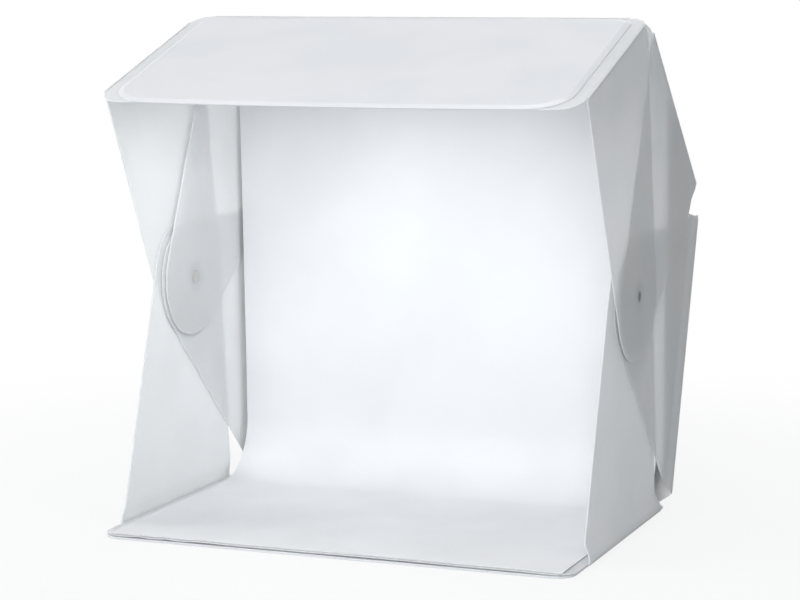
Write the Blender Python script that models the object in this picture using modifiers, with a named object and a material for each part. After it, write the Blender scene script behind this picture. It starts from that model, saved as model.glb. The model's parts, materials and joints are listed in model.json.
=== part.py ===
"""Folding light tent with side flaps held by magnets, two LED bars under the roof and a swept backdrop.

Metres, +Z up. X is the width and +Y points to the back. The origin lies on the underside of the
base, in the middle of its width and depth. Four panels follow one another as a chain of creases:
base, lower back, rear roof and front roof. Each carries one flap on either side, and all four
flaps of a side lie on one another and meet at one magnet.
"""

import math
from dataclasses import dataclass

import bmesh
import bpy
from mathutils import Matrix, Vector

# Driving dimensions of the tent when it is set up
TENT_WIDTH = 0.640
BASE_DEPTH = 0.453
LOWER_BACK_LENGTH = 0.428
REAR_ROOF_LENGTH = 0.373
FRONT_ROOF_LENGTH = 0.288
ROOF_OVERHANG = 0.033
LOWER_BACK_LEAN = math.radians(71.4)
REAR_ROOF_SLOPE = math.radians(42.2)
FRONT_ROOF_SLOPE = math.radians(18.5)

# Stock: the folding sheet, the stiffening boards glued outside it, and the fit between pieces
SHEET = 0.0024
BOARD = 0.0030
FIT = 0.0003
OVERRUN = 0.002
ARC_STEP = math.radians(12)
SHARP_ANGLE = math.radians(30)
FLAT_ANGLE = math.radians(1)
NOSE_STEPS = 3
NOSE_REACH = 0.002
NOSE_ROUND_SHARE = 0.98
MERGE = 0.00001

# Panel corners: how far the sheets are cut in at the creases, and the rounded corners
RELIEF_INSET = 0.014
RELIEF_RISE = 0.004
RELIEF_CORNER = 0.003
BASE_REAR_RELIEF = 0.052
LOWER_BACK_FOOT_RELIEF = 0.009
VALLEY_RELIEF = 0.026
RIDGE_CORNER = 0.024
BASE_CORNER = 0.026
ROOF_SHEET_CORNER = 0.032
ROOF_BOARD_CORNER = 0.050
BOARD_REAR_CORNER = 0.018
BOARD_SIDE_MARGIN = 0.0155
BASE_BOARD_SIDE_MARGIN = 0.002
BOARD_CREASE_MARGIN = 0.010
SHEET_FRONT_SETBACK = 0.003

# Flaps: every tip is a round about the magnet, drawn out a little towards the front
MAGNET_FROM_FRONT = 0.279
MAGNET_HEIGHT = 0.308
BASE_FLAP_FRONT = 0.066
BASE_FLAP_REAR_GAP = 0.053
BACK_FLAP_FOOT_GAP = 0.0104
BACK_FLAP_TOP_GAP = 0.025
REAR_ROOF_FLAP_HEEL_GAP = 0.0294
REAR_ROOF_FLAP_RIDGE_GAP = 0.026
REAR_ROOF_FLAP_HEEL_SHIFT = 0.005
REAR_ROOF_FLAP_HEEL_DEPTH = 0.0515
FRONT_ROOF_FLAP_RIDGE_GAP = 0.026
FRONT_ROOF_FLAP_HEEL_SHIFT = 0.011
FRONT_ROOF_FLAP_HEEL_DEPTH = 0.010
FRONT_ROOF_TIP = 0.083
FRONT_ROOF_TIP_LEAD = 0.014
REAR_ROOF_TIP = 0.080
REAR_ROOF_TIP_LEAD = 0.009
BASE_TIP = 0.082
BASE_TIP_LEAD = 0.030
BACK_TIP = 0.077
BACK_TIP_LEAD = 0.019

# The flaps of a side lie on one another, outermost first: each leans in to its layer past its crease
LEAN_START = 0.004
LEAN_END = 0.026
FLAP_LAYERS = {
    "left": ("front_roof", "base", "lower_back", "rear_roof"),
    "right": ("front_roof", "rear_roof", "lower_back", "base"),
}

# Magnets set into the flaps
MAGNET_DIAMETER = 0.018
MAGNET_THICKNESS = 0.0012
MAGNET_SIDES = 32

# Backdrop: a thin sheet that lies on the base, sweeps up and is held under the rear roof
BACKDROP = 0.0012
BACKDROP_SIDE_GAP = 0.016
BACKDROP_WIDTH = TENT_WIDTH - 2 * BACKDROP_SIDE_GAP
BACKDROP_FRONT_SETBACK = 0.005
BACKDROP_REAR_GAP = 0.017
BACKDROP_LEAN = math.radians(2.15)
BACKDROP_SWEEP = 0.080
BACKDROP_TOP_BEND = 0.012
BACKDROP_TAB = 0.034
GRIP_STRIP = 0.0012
GRIP_STRIP_INSET = 0.054
GRIP_STRIP_LENGTH = BACKDROP_WIDTH - 2 * GRIP_STRIP_INSET
GRIP_STRIP_WIDTH = 0.018

# LED bars: aluminium channels with a strip of LEDs, on pads under the front roof
BAR_SIDE_GAP = 0.060
BAR_LENGTH = TENT_WIDTH - 2 * BAR_SIDE_GAP
BAR_WIDTH = 0.018
BAR_HEIGHT = 0.009
BAR_WALL = 0.0014
BAR_FROM_RIDGE = {"rear": 0.085, "front": 0.195}
PAD_THICKNESS = 0.0010
PAD_INSET = 0.010
PAD_LENGTH = BAR_LENGTH - 2 * PAD_INSET
STRIP_BOARD = 0.0012
CHIP_SIZE = 0.0050
CHIP_HEIGHT = 0.0014
CHIP_PITCH = 0.020
CAP_THICKNESS = 0.0024
CAP_ROUND = 0.0006
LEAD_DIAMETER = 0.0032
LEAD_BEND = 0.010
LEAD_BOW = 0.014
INLET_DIAMETER = 0.0080
INLET_BORE = 0.0056
INLET_LENGTH = 0.0120
INLET_BORE_DEPTH = 0.0095
INLET_PIN_DIAMETER = 0.0020
INLET_PIN_LENGTH = 0.0075
INLET_SIDES = 24


@dataclass(frozen=True)
class Panel:
    """One flat panel: its crease to the panel before it, its direction and its length."""

    name: str
    angle: float
    length: float
    near_relief: float
    far_relief: float


@dataclass(frozen=True)
class Flap:
    """The side flap of a panel, in distances along the panel from its near crease."""

    start: float
    end: float
    tip: float
    lead: float
    heel: tuple
    pocket_inside: bool


def panels():
    """The four panels in the order in which they are joined, from the front edge of the base."""
    return [
        Panel("base", 0.0, BASE_DEPTH, 0.0, BASE_REAR_RELIEF),
        Panel("lower_back", LOWER_BACK_LEAN, LOWER_BACK_LENGTH, LOWER_BACK_FOOT_RELIEF, VALLEY_RELIEF),
        Panel("rear_roof", math.pi - REAR_ROOF_SLOPE, REAR_ROOF_LENGTH, VALLEY_RELIEF, 0.0),
        Panel("front_roof", math.pi + FRONT_ROOF_SLOPE, FRONT_ROOF_LENGTH + ROOF_OVERHANG, 0.0, 0.0),
    ]


def flaps():
    """The flap of each panel by the panel's name, the same on both sides."""
    heel_along = REAR_ROOF_FLAP_HEEL_GAP - REAR_ROOF_FLAP_HEEL_SHIFT
    front_heel_along = FRONT_ROOF_FLAP_RIDGE_GAP - FRONT_ROOF_FLAP_HEEL_SHIFT
    return {
        "base": Flap(BASE_FLAP_FRONT, BASE_DEPTH - BASE_FLAP_REAR_GAP, BASE_TIP, BASE_TIP_LEAD, (), True),
        "lower_back": Flap(
            BACK_FLAP_FOOT_GAP,
            LOWER_BACK_LENGTH - BACK_FLAP_TOP_GAP,
            BACK_TIP,
            BACK_TIP_LEAD,
            (),
            False,
        ),
        "rear_roof": Flap(
            REAR_ROOF_FLAP_HEEL_GAP,
            REAR_ROOF_LENGTH - REAR_ROOF_FLAP_RIDGE_GAP,
            REAR_ROOF_TIP,
            REAR_ROOF_TIP_LEAD,
            ((heel_along, REAR_ROOF_FLAP_HEEL_DEPTH),),
            True,
        ),
        "front_roof": Flap(
            FRONT_ROOF_FLAP_RIDGE_GAP,
            FRONT_ROOF_LENGTH,
            FRONT_ROOF_TIP,
            FRONT_ROOF_TIP_LEAD,
            ((front_heel_along, FRONT_ROOF_FLAP_HEEL_DEPTH),),
            True,
        ),
    }


def crease_height():
    """Height of the base's folding sheet, at its middle plane, above the table."""
    return BOARD + FIT + SHEET / 2


def creases():
    """Each panel's near crease as a point (y, z)."""
    y, z = -BASE_DEPTH / 2, crease_height()
    found = {}
    for panel in panels():
        found[panel.name] = (y, z)
        y += panel.length * math.cos(panel.angle)
        z += panel.length * math.sin(panel.angle)
    return found


def crease_side():
    """Distance of the flap creases from the tent's middle."""
    return TENT_WIDTH / 2 - SHEET / 2


def sheet_half_width():
    """Half the width of the panels' sheets, which stop just short of the flap creases."""
    return crease_side() - SHEET / 2 - FIT


# Outlines


def filleted(points, radii, closed):
    """The points with each corner rounded to its radius, as a list of (x, y)."""
    result = []
    count = len(points)
    for i, (point, radius) in enumerate(zip(points, radii)):
        at_end = not closed and i in (0, count - 1)
        if radius <= 0 or at_end:
            result.append(tuple(point))
            continue
        here = Vector(point)
        to_last = (Vector(points[i - 1]) - here).normalized()
        to_next = (Vector(points[(i + 1) % count]) - here).normalized()
        half = to_last.angle(to_next) / 2
        centre = here + (to_last + to_next).normalized() * radius / math.sin(half)
        first = here + to_last * radius / math.tan(half) - centre
        turn = math.pi - 2 * half
        if to_last.x * to_next.y - to_last.y * to_next.x > 0:
            turn = -turn
        steps = max(1, math.ceil(abs(turn) / ARC_STEP))
        for k in range(steps + 1):
            result.append(tuple(centre + Matrix.Rotation(turn * k / steps, 2) @ first))
    return result


def arc_points(centre, radius):
    """Points all round a circle."""
    count = math.ceil(2 * math.pi / ARC_STEP)
    turns = [2 * math.pi * i / count for i in range(count)]
    return [(centre[0] + radius * math.cos(a), centre[1] + radius * math.sin(a)) for a in turns]


def hull(points):
    """The convex outline round the points, anticlockwise."""

    def chain(ordered):
        """One side of the outline."""
        side = []
        for p in ordered:
            while len(side) > 1 and turn(side[-2], side[-1], p) <= 0:
                side.pop()
            side.append(p)
        return side[:-1]

    def turn(a, b, c):
        """Above zero where a, b and c turn left."""
        return (b[0] - a[0]) * (c[1] - a[1]) - (b[1] - a[1]) * (c[0] - a[0])

    ordered = sorted(set(points))
    return chain(ordered) + chain(ordered[::-1])


def mirrored(right_side):
    """A closed outline from its right side, given from the near end to the far end."""
    return right_side + [(-x, y) for x, y in reversed(right_side)]


# Blender objects


def clear_scene():
    """Removes every object that the scene starts with."""
    for obj in list(bpy.data.objects):
        bpy.data.objects.remove(obj)


def make_collection(name):
    """A new collection in the scene."""
    made = bpy.data.collections.new(name)
    bpy.context.scene.collection.children.link(made)
    return made


def make_material(name, colour, roughness, metallic=0.0):
    """A Principled material of one colour."""
    made = bpy.data.materials.new(name)
    made.use_nodes = True
    shader = made.node_tree.nodes["Principled BSDF"]
    shader.inputs["Base Color"].default_value = (*colour, 1.0)
    shader.inputs["Roughness"].default_value = roughness
    shader.inputs["Metallic"].default_value = metallic
    made.diffuse_color = (*colour, 1.0)
    return made


def finish_object(mesh, name, parent, place, material, smooth=False):
    """Links a mesh as an object at a place in its parent's frame."""
    obj = bpy.data.objects.new(name, mesh)
    PARTS.objects.link(obj)
    obj.parent = parent
    obj.matrix_basis = place
    mesh.materials.clear()
    mesh.materials.append(material)
    if smooth:
        mesh.shade_smooth()
        mesh.set_sharp_from_angle(angle=SHARP_ANGLE)
    return obj


def plate_mesh(name, outline, thickness, nose=None):
    """A flat plate in the XY plane from a filled 2D curve.

    With a nose, every outline edge that the test picks is rounded over the plate's whole thickness.
    """
    curve = bpy.data.curves.new(name, "CURVE")
    curve.dimensions = "2D"
    curve.fill_mode = "BOTH"
    curve.extrude = thickness / 2
    spline = curve.splines.new("POLY")
    spline.points.add(len(outline) - 1)
    for point, (x, y) in zip(spline.points, outline):
        point.co = (x, y, 0, 1)
    spline.use_cyclic_u = True
    guide = bpy.data.objects.new(name, curve)
    bpy.context.scene.collection.objects.link(guide)
    bpy.context.view_layer.update()
    evaluated = guide.evaluated_get(bpy.context.evaluated_depsgraph_get())
    mesh = bpy.data.meshes.new_from_object(evaluated)
    bpy.data.objects.remove(guide)
    mesh.name = name
    bm = bmesh.new()
    bm.from_mesh(mesh)
    bmesh.ops.remove_doubles(bm, verts=bm.verts, dist=MERGE)
    bmesh.ops.dissolve_limit(bm, angle_limit=FLAT_ANGLE, verts=bm.verts, edges=bm.edges)
    if nose:
        edges = [e for e in bm.edges if all(nose(v.co) for v in e.verts)]
        edges = [e for e in edges if abs(e.verts[0].co.z - e.verts[1].co.z) < MERGE]
        reach = thickness / 2 * NOSE_ROUND_SHARE
        bmesh.ops.bevel(
            bm,
            geom=edges,
            offset=reach,
            offset_type="OFFSET",
            segments=NOSE_STEPS,
            affect="EDGES",
            clamp_overlap=False,
        )
    bmesh.ops.recalc_face_normals(bm, faces=bm.faces)
    bm.to_mesh(mesh)
    bm.free()
    return mesh


def box_mesh(name, size, centres):
    """One or more like boxes in one mesh."""
    bm = bmesh.new()
    for centre in centres:
        bmesh.ops.create_cube(bm, size=1, matrix=Matrix.Translation(centre) @ Matrix.Diagonal((*size, 1)))
    mesh = bpy.data.meshes.new(name)
    bm.to_mesh(mesh)
    bm.free()
    return mesh


def cylinder_mesh(name, diameter, length, sides):
    """A closed cylinder about Z, from zero up to its length."""
    bm = bmesh.new()
    bmesh.ops.create_cone(
        bm,
        cap_ends=True,
        segments=sides,
        radius1=diameter / 2,
        radius2=diameter / 2,
        depth=length,
        matrix=Matrix.Translation((0, 0, length / 2)),
    )
    mesh = bpy.data.meshes.new(name)
    bm.to_mesh(mesh)
    bm.free()
    return mesh


def combine(obj, mesh, place, operation):
    """Cuts a mesh, placed in the object's own frame, out of the object, or joins it on."""
    tool = bpy.data.objects.new(mesh.name, mesh)
    CUTTERS.objects.link(tool)
    tool.parent = obj
    tool.matrix_basis = place
    tool.hide_render = True
    tool.display_type = "WIRE"
    modifier = obj.modifiers.new(mesh.name, "BOOLEAN")
    modifier.operation = operation
    modifier.object = tool


def move(x=0.0, y=0.0, z=0.0):
    """A shift as a matrix."""
    return Matrix.Translation((x, y, z))


SIDE_TURN = Matrix(((0, 0, 1, 0), (1, 0, 0, 0), (0, 1, 0, 0), (0, 0, 0, 1)))


# Panels


def panel_frames():
    """An empty on each panel's near crease. Turning one folds the tent there."""
    frames = {}
    parent, last_angle, last_length = None, 0.0, 0.0
    for panel in panels():
        empty = bpy.data.objects.new(panel.name + "_crease", None)
        PARTS.objects.link(empty)
        if parent is None:
            y, z = creases()[panel.name]
            empty.location = (0, y, z)
        else:
            empty.parent = parent
            empty.location = (0, last_length, 0)
        empty.rotation_euler = (panel.angle - last_angle, 0, 0)
        frames[panel.name] = empty
        parent, last_angle, last_length = empty, panel.angle, panel.length
    return frames


def sheet_outline(panel):
    """The folding sheet's outline in (across, along), with its creases cut in at both ends."""
    half = sheet_half_width()
    crease_gap = SHEET / 2 + FIT
    if panel.name == "base":
        near, far = SHEET_FRONT_SETBACK, panel.length - crease_gap
        points = [(half, near), (half, far - panel.far_relief), (half - RELIEF_INSET, far)]
        radii = [BASE_CORNER, 0, 0]
    elif panel.name == "front_roof":
        near, far = -SHEET / 2, panel.length - SHEET_FRONT_SETBACK
        points = [(half, near), (half, far)]
        radii = [RIDGE_CORNER, ROOF_SHEET_CORNER]
    elif panel.name == "rear_roof":
        near, far = -SHEET / 2, panel.length - crease_gap
        points = [(half - RELIEF_INSET, near), (half, panel.near_relief), (half, far)]
        radii = [0, 0, RIDGE_CORNER]
    else:
        near, far = -SHEET / 2, panel.length - crease_gap
        points = [
            (half - RELIEF_INSET, near),
            (half, panel.near_relief),
            (half, far - panel.far_relief),
            (half - RELIEF_INSET, far - panel.far_relief + RELIEF_RISE),
            (half - RELIEF_INSET, far),
        ]
        radii = [0, 0, RELIEF_CORNER, 0, 0]
    return filleted(mirrored(points), radii + radii[::-1], True)


def board_outline(panel):
    """The stiffening board's outline: inside the sheet's, and short of the creases."""
    margin = BASE_BOARD_SIDE_MARGIN if panel.name == "base" else BOARD_SIDE_MARGIN
    half = sheet_half_width() - margin
    near = 0.0 if panel.name == "base" else BOARD_CREASE_MARGIN
    far = panel.length if panel.name == "front_roof" else panel.length - BOARD_CREASE_MARGIN
    near_corner = BASE_CORNER if panel.name == "base" else BOARD_REAR_CORNER
    far_corner = ROOF_BOARD_CORNER if panel.name == "front_roof" else BOARD_REAR_CORNER
    points = mirrored([(half, near), (half, far)])
    return filleted(points, [near_corner, far_corner, far_corner, near_corner], True)


def build_panel(panel, frame):
    """The folding sheet and the board outside it."""

    def is_nose(co):
        """On the near edge, which turns on the crease, or where it begins to curve away."""
        return co.y < NOSE_REACH

    nose = None if panel.name == "base" else is_nose
    sheet = plate_mesh(panel.name + "_sheet", sheet_outline(panel), SHEET, nose)
    finish_object(sheet, panel.name + "_sheet", frame, move(), SHEET_WHITE)
    board = plate_mesh(panel.name + "_board", board_outline(panel), BOARD)
    below = -(SHEET / 2 + FIT + BOARD / 2)
    finish_object(board, panel.name + "_board", frame, move(z=below), BOARD_WHITE)


# Flaps and their magnets


def magnet_in_panel(panel):
    """The magnets' meeting point as (along, into the tent) in a panel's own frame."""
    y, z = creases()[panel.name]
    dy = -BASE_DEPTH / 2 + MAGNET_FROM_FRONT - y
    dz = MAGNET_HEIGHT - z
    along = dy * math.cos(panel.angle) + dz * math.sin(panel.angle)
    inward = -dy * math.sin(panel.angle) + dz * math.cos(panel.angle)
    return along, inward


def flap_outline(panel, flap):
    """The flap's outline: its crease, its heel and its tip's round, joined by straight edges."""
    along, inward = magnet_in_panel(panel)
    lead = (along - flap.lead * math.cos(panel.angle), inward + flap.lead * math.sin(panel.angle))
    points = [(flap.start, -SHEET / 2), (flap.end, -SHEET / 2)]
    points += list(flap.heel)
    points += arc_points((along, inward), flap.tip)
    points += arc_points(lead, flap.tip)
    return hull(points)


def lean_plate(mesh, shift):
    """Bends a flap's plate so that it lies aside by the shift beyond a slope next to its crease."""
    bm = bmesh.new()
    bm.from_mesh(mesh)
    for reach in (LEAN_START, LEAN_END):
        everything = bm.verts[:] + bm.edges[:] + bm.faces[:]
        bmesh.ops.bisect_plane(bm, geom=everything, dist=MERGE, plane_co=(0, reach, 0), plane_no=(0, 1, 0))
    for vert in bm.verts:
        share = (vert.co.y - LEAN_START) / (LEAN_END - LEAN_START)
        vert.co.z += shift * min(1.0, max(0.0, share))
    bm.to_mesh(mesh)
    bm.free()


def build_flap(panel, flap, frame, side):
    """A flap on one side, which is 1 on the right and -1 on the left, with its magnet."""
    word = "right" if side > 0 else "left"
    name = word + "_" + panel.name + "_flap"

    def is_crease(co):
        """On the edge that turns on the crease."""
        return abs(co.y + SHEET / 2) < MERGE

    mesh = plate_mesh(name, flap_outline(panel, flap), SHEET, is_crease)
    lean = -side * FLAP_LAYERS[word].index(panel.name) * (SHEET + FIT)
    if lean:
        lean_plate(mesh, lean)
    place = move(x=side * crease_side()) @ SIDE_TURN
    obj = finish_object(mesh, name, frame, place, SHEET_WHITE)
    along, inward = magnet_in_panel(panel)
    mouth = -side if flap.pocket_inside else side
    turn = Matrix.Identity(4) if mouth > 0 else Matrix.Rotation(math.pi, 4, "X")
    floor = SHEET / 2 - MAGNET_THICKNESS - FIT
    seat = move(along, inward, lean) @ turn
    pocket = cylinder_mesh(
        name + "_pocket", MAGNET_DIAMETER + 2 * FIT, MAGNET_THICKNESS + FIT + OVERRUN, MAGNET_SIDES
    )
    combine(obj, pocket, seat @ move(z=floor), "DIFFERENCE")
    magnet_name = word + "_" + panel.name + "_magnet"
    magnet = cylinder_mesh(magnet_name, MAGNET_DIAMETER, MAGNET_THICKNESS, MAGNET_SIDES)
    finish_object(magnet, magnet_name, obj, seat @ move(z=floor + FIT), MAGNET_NICKEL, smooth=True)


# Backdrop and the strips that hold it


def strip_depth(layers):
    """Depth of a face under the rear roof's sheet, below a number of grip strips."""
    return SHEET / 2 + layers * (FIT + GRIP_STRIP)


def backdrop_path():
    """The backdrop's middle line as points (y, z), from its front edge to its tab."""
    roof_y, roof_z = creases()["rear_roof"]
    angle = math.pi - REAR_ROOF_SLOPE
    depth = strip_depth(2) + FIT + BACKDROP / 2
    plane_y = roof_y - depth * math.sin(angle)
    plane_z = roof_z + depth * math.cos(angle)
    floor = crease_height() + SHEET / 2 + FIT + BACKDROP / 2
    foot = BASE_DEPTH / 2 - BACKDROP_REAR_GAP
    slope = (math.sin(angle), -math.cos(angle))
    wall = (-math.sin(BACKDROP_LEAN), math.cos(BACKDROP_LEAN))
    gap = (plane_y - foot) * slope[0] + (plane_z - floor) * slope[1]
    rise = gap / (wall[0] * slope[0] + wall[1] * slope[1])
    top = (foot + rise * wall[0], floor + rise * wall[1])
    tab = (top[0] + BACKDROP_TAB * math.cos(angle), top[1] + BACKDROP_TAB * math.sin(angle))
    front = (-BASE_DEPTH / 2 + BACKDROP_FRONT_SETBACK, floor)
    points = [front, (foot, floor), top, tab]
    return filleted(points, [0, BACKDROP_SWEEP, BACKDROP_TOP_BEND, 0], False), top


def build_backdrop():
    """The swept sheet, and the grip strips on its tab and under the rear roof."""
    path, top = backdrop_path()
    bm = bmesh.new()
    verts = [bm.verts.new((-BACKDROP_WIDTH / 2, y, z)) for y, z in path]
    edges = [bm.edges.new(pair) for pair in zip(verts, verts[1:])]
    swept = bmesh.ops.extrude_edge_only(bm, edges=edges)
    moved = [g for g in swept["geom"] if isinstance(g, bmesh.types.BMVert)]
    bmesh.ops.translate(bm, verts=moved, vec=(BACKDROP_WIDTH, 0, 0))
    bmesh.ops.recalc_face_normals(bm, faces=bm.faces)
    mesh = bpy.data.meshes.new("backdrop")
    bm.to_mesh(mesh)
    bm.free()
    sheet = finish_object(mesh, "backdrop", None, move(), BACKDROP_WHITE, smooth=True)
    shell = sheet.modifiers.new("thickness", "SOLIDIFY")
    shell.thickness = BACKDROP
    shell.offset = 0
    shell.use_even_offset = True
    frame = FRAMES["rear_roof"]
    roof_y, roof_z = creases()["rear_roof"]
    angle = math.pi - REAR_ROOF_SLOPE
    top_along = (top[0] - roof_y) * math.cos(angle) + (top[1] - roof_z) * math.sin(angle)
    along = top_along + BACKDROP_TAB - GRIP_STRIP_WIDTH / 2
    size = (GRIP_STRIP_LENGTH, GRIP_STRIP_WIDTH, GRIP_STRIP)
    for name, layers in (("hook_strip", 0), ("loop_strip", 1)):
        centre = (0, along, strip_depth(layers) + FIT + GRIP_STRIP / 2)
        finish_object(box_mesh(name, size, [centre]), name, frame, move(), STRIP_WHITE)


# LED bars under the front roof


def channel_outline():
    """The channel's section as (along the roof, below the roof): a trough that opens downwards."""
    half, inner = BAR_WIDTH / 2, BAR_WIDTH / 2 - BAR_WALL
    return [
        (-half, 0),
        (half, 0),
        (half, BAR_HEIGHT),
        (inner, BAR_HEIGHT),
        (inner, BAR_WALL),
        (-inner, BAR_WALL),
        (-inner, BAR_HEIGHT),
        (-half, BAR_HEIGHT),
    ]


def bar_top():
    """Depth of the channels' upper face below the middle of the roof's sheet."""
    return SHEET / 2 + FIT + PAD_THICKNESS + FIT


def build_bar(word, along):
    """One LED bar: mounting pad, channel, LED strip and an end cap at each end."""
    frame = FRAMES["front_roof"]
    name = word + "_led_bar_"
    channel = plate_mesh(name + "channel", channel_outline(), BAR_LENGTH)
    finish_object(channel, name + "channel", frame, move(0, along, bar_top()) @ SIDE_TURN, ALUMINIUM)
    depth = SHEET / 2 + FIT + PAD_THICKNESS / 2
    pad = box_mesh(name + "pad", (PAD_LENGTH, BAR_WIDTH, PAD_THICKNESS), [(0, 0, 0)])
    finish_object(pad, name + "pad", frame, move(0, along, depth), STRIP_WHITE)
    build_led_strip(name + "strip", along)
    depth = bar_top() + BAR_HEIGHT / 2
    for side, side_word in ((-1, "left"), (1, "right")):
        cap_name = name + side_word + "_cap"
        cap = box_mesh(cap_name, (CAP_THICKNESS, BAR_WIDTH, BAR_HEIGHT), [(0, 0, 0)])
        cap = finish_object(cap, cap_name, frame, move(side * cap_centre(), along, depth), CAP_GREY)
        edge = cap.modifiers.new("rounding", "BEVEL")
        edge.width = CAP_ROUND
        edge.segments = 1


def build_led_strip(name, along):
    """The LED board in the channel, with its row of chips on it."""
    board_width = BAR_WIDTH - 2 * (BAR_WALL + FIT)
    depth = bar_top() + BAR_WALL + FIT + STRIP_BOARD / 2
    mesh = box_mesh(name, (BAR_LENGTH, board_width, STRIP_BOARD), [(0, 0, 0)])
    board = finish_object(mesh, name, FRAMES["front_roof"], move(0, along, depth), BOARD_GREEN)
    count = int((BAR_LENGTH - CHIP_SIZE) / CHIP_PITCH) + 1
    first = -(count - 1) * CHIP_PITCH / 2
    places = [(first + i * CHIP_PITCH, 0, 0) for i in range(count)]
    size = (CHIP_SIZE, CHIP_SIZE, CHIP_HEIGHT + STRIP_BOARD / 2)
    chips = box_mesh(name + "_chips", size, places)
    combine(board, chips, move(z=size[2] / 2), "UNION")


def cap_centre():
    """Distance of an end cap's middle from the tent's middle."""
    return BAR_LENGTH / 2 + FIT + CAP_THICKNESS / 2


def cap_face():
    """Distance of an end cap's outer face from the tent's middle."""
    return cap_centre() + CAP_THICKNESS / 2


def build_link_lead():
    """The lead that joins the left ends of both bars, held close under the roof."""
    first, last = BAR_FROM_RIDGE["front"], BAR_FROM_RIDGE["rear"]
    depth = bar_top() + BAR_HEIGHT / 2
    start = -cap_face() - FIT
    out = start - LEAD_BEND - LEAD_DIAMETER
    bow = start - LEAD_BOW - LEAD_DIAMETER
    middle = (first + last) / 2
    corners = [(start, first), (out, first), (bow, middle), (out, last), (start, last)]
    line = filleted(corners, [0, LEAD_BEND, LEAD_BOW, LEAD_BEND, 0], False)
    curve = bpy.data.curves.new("led_link_lead", "CURVE")
    curve.dimensions = "3D"
    curve.bevel_depth = LEAD_DIAMETER / 2
    curve.bevel_resolution = 2
    curve.use_fill_caps = True
    spline = curve.splines.new("POLY")
    spline.points.add(len(line) - 1)
    for point, (x, y) in zip(spline.points, line):
        point.co = (x, y, depth, 1)
    lead = bpy.data.objects.new("led_link_lead", curve)
    PARTS.objects.link(lead)
    lead.parent = FRAMES["front_roof"]
    curve.materials.append(LEAD_GREY)


def build_inlet():
    """The power inlet on the right end of the rear bar, with its centre pin."""
    frame = FRAMES["front_roof"]
    along = BAR_FROM_RIDGE["rear"]
    depth = bar_top() + BAR_HEIGHT / 2
    turn = Matrix.Rotation(math.pi / 2, 4, "Y")
    place = move(cap_face() + FIT, along, depth) @ turn
    mesh = cylinder_mesh("power_inlet", INLET_DIAMETER, INLET_LENGTH, INLET_SIDES)
    body = finish_object(mesh, "power_inlet", frame, place, INLET_BLACK, smooth=True)
    floor = INLET_LENGTH - INLET_BORE_DEPTH
    bore = cylinder_mesh("power_inlet_bore", INLET_BORE, INLET_BORE_DEPTH + OVERRUN, INLET_SIDES)
    combine(body, bore, move(z=floor), "DIFFERENCE")
    pin = cylinder_mesh("power_inlet_pin", INLET_PIN_DIAMETER, INLET_PIN_LENGTH, INLET_SIDES)
    finish_object(pin, "power_inlet_pin", body, move(z=floor + FIT), MAGNET_NICKEL, smooth=True)


clear_scene()
PARTS = make_collection("light_tent")
CUTTERS = make_collection("light_tent_cutters")
SHEET_WHITE = make_material("translucent_polypropylene", (0.80, 0.81, 0.83), 0.45)
BOARD_WHITE = make_material("white_polypropylene_board", (0.78, 0.79, 0.81), 0.50)
BACKDROP_WHITE = make_material("white_backdrop_sheet", (0.84, 0.85, 0.88), 0.60)
MAGNET_NICKEL = make_material("nickel_plating", (0.55, 0.55, 0.56), 0.30, 1.0)
STRIP_WHITE = make_material("woven_grip_strip", (0.72, 0.72, 0.72), 0.90)
ALUMINIUM = make_material("anodised_aluminium", (0.70, 0.71, 0.73), 0.35, 1.0)
BOARD_GREEN = make_material("white_led_board", (0.75, 0.76, 0.74), 0.40)
CAP_GREY = make_material("grey_abs", (0.35, 0.36, 0.37), 0.45)
LEAD_GREY = make_material("grey_pvc_lead", (0.20, 0.20, 0.21), 0.50)
INLET_BLACK = make_material("black_nylon", (0.03, 0.03, 0.03), 0.40)

FRAMES = panel_frames()
for each_panel in panels():
    build_panel(each_panel, FRAMES[each_panel.name])
    for each_side in (-1, 1):
        build_flap(each_panel, flaps()[each_panel.name], FRAMES[each_panel.name], each_side)
build_backdrop()
for bar_word, bar_along in BAR_FROM_RIDGE.items():
    build_bar(bar_word, bar_along)
build_link_lead()
build_inlet()
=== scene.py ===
"""Looks of a folding light tent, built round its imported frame.

The tent is cut from translucent white polypropylene sheet that folds along living hinges. Boards
stiffen its four panels, magnets sealed into the side flaps hold it up, two LED bars hang under the
roof and a swept backdrop lies inside. Metres, +Z up, in the frame's own axes.
"""

from __future__ import annotations

import json
import logging
import math
from collections.abc import Callable, Sequence
from dataclasses import dataclass, field
from enum import Enum

import bmesh
import bpy
from mathutils import Matrix, Vector

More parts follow.
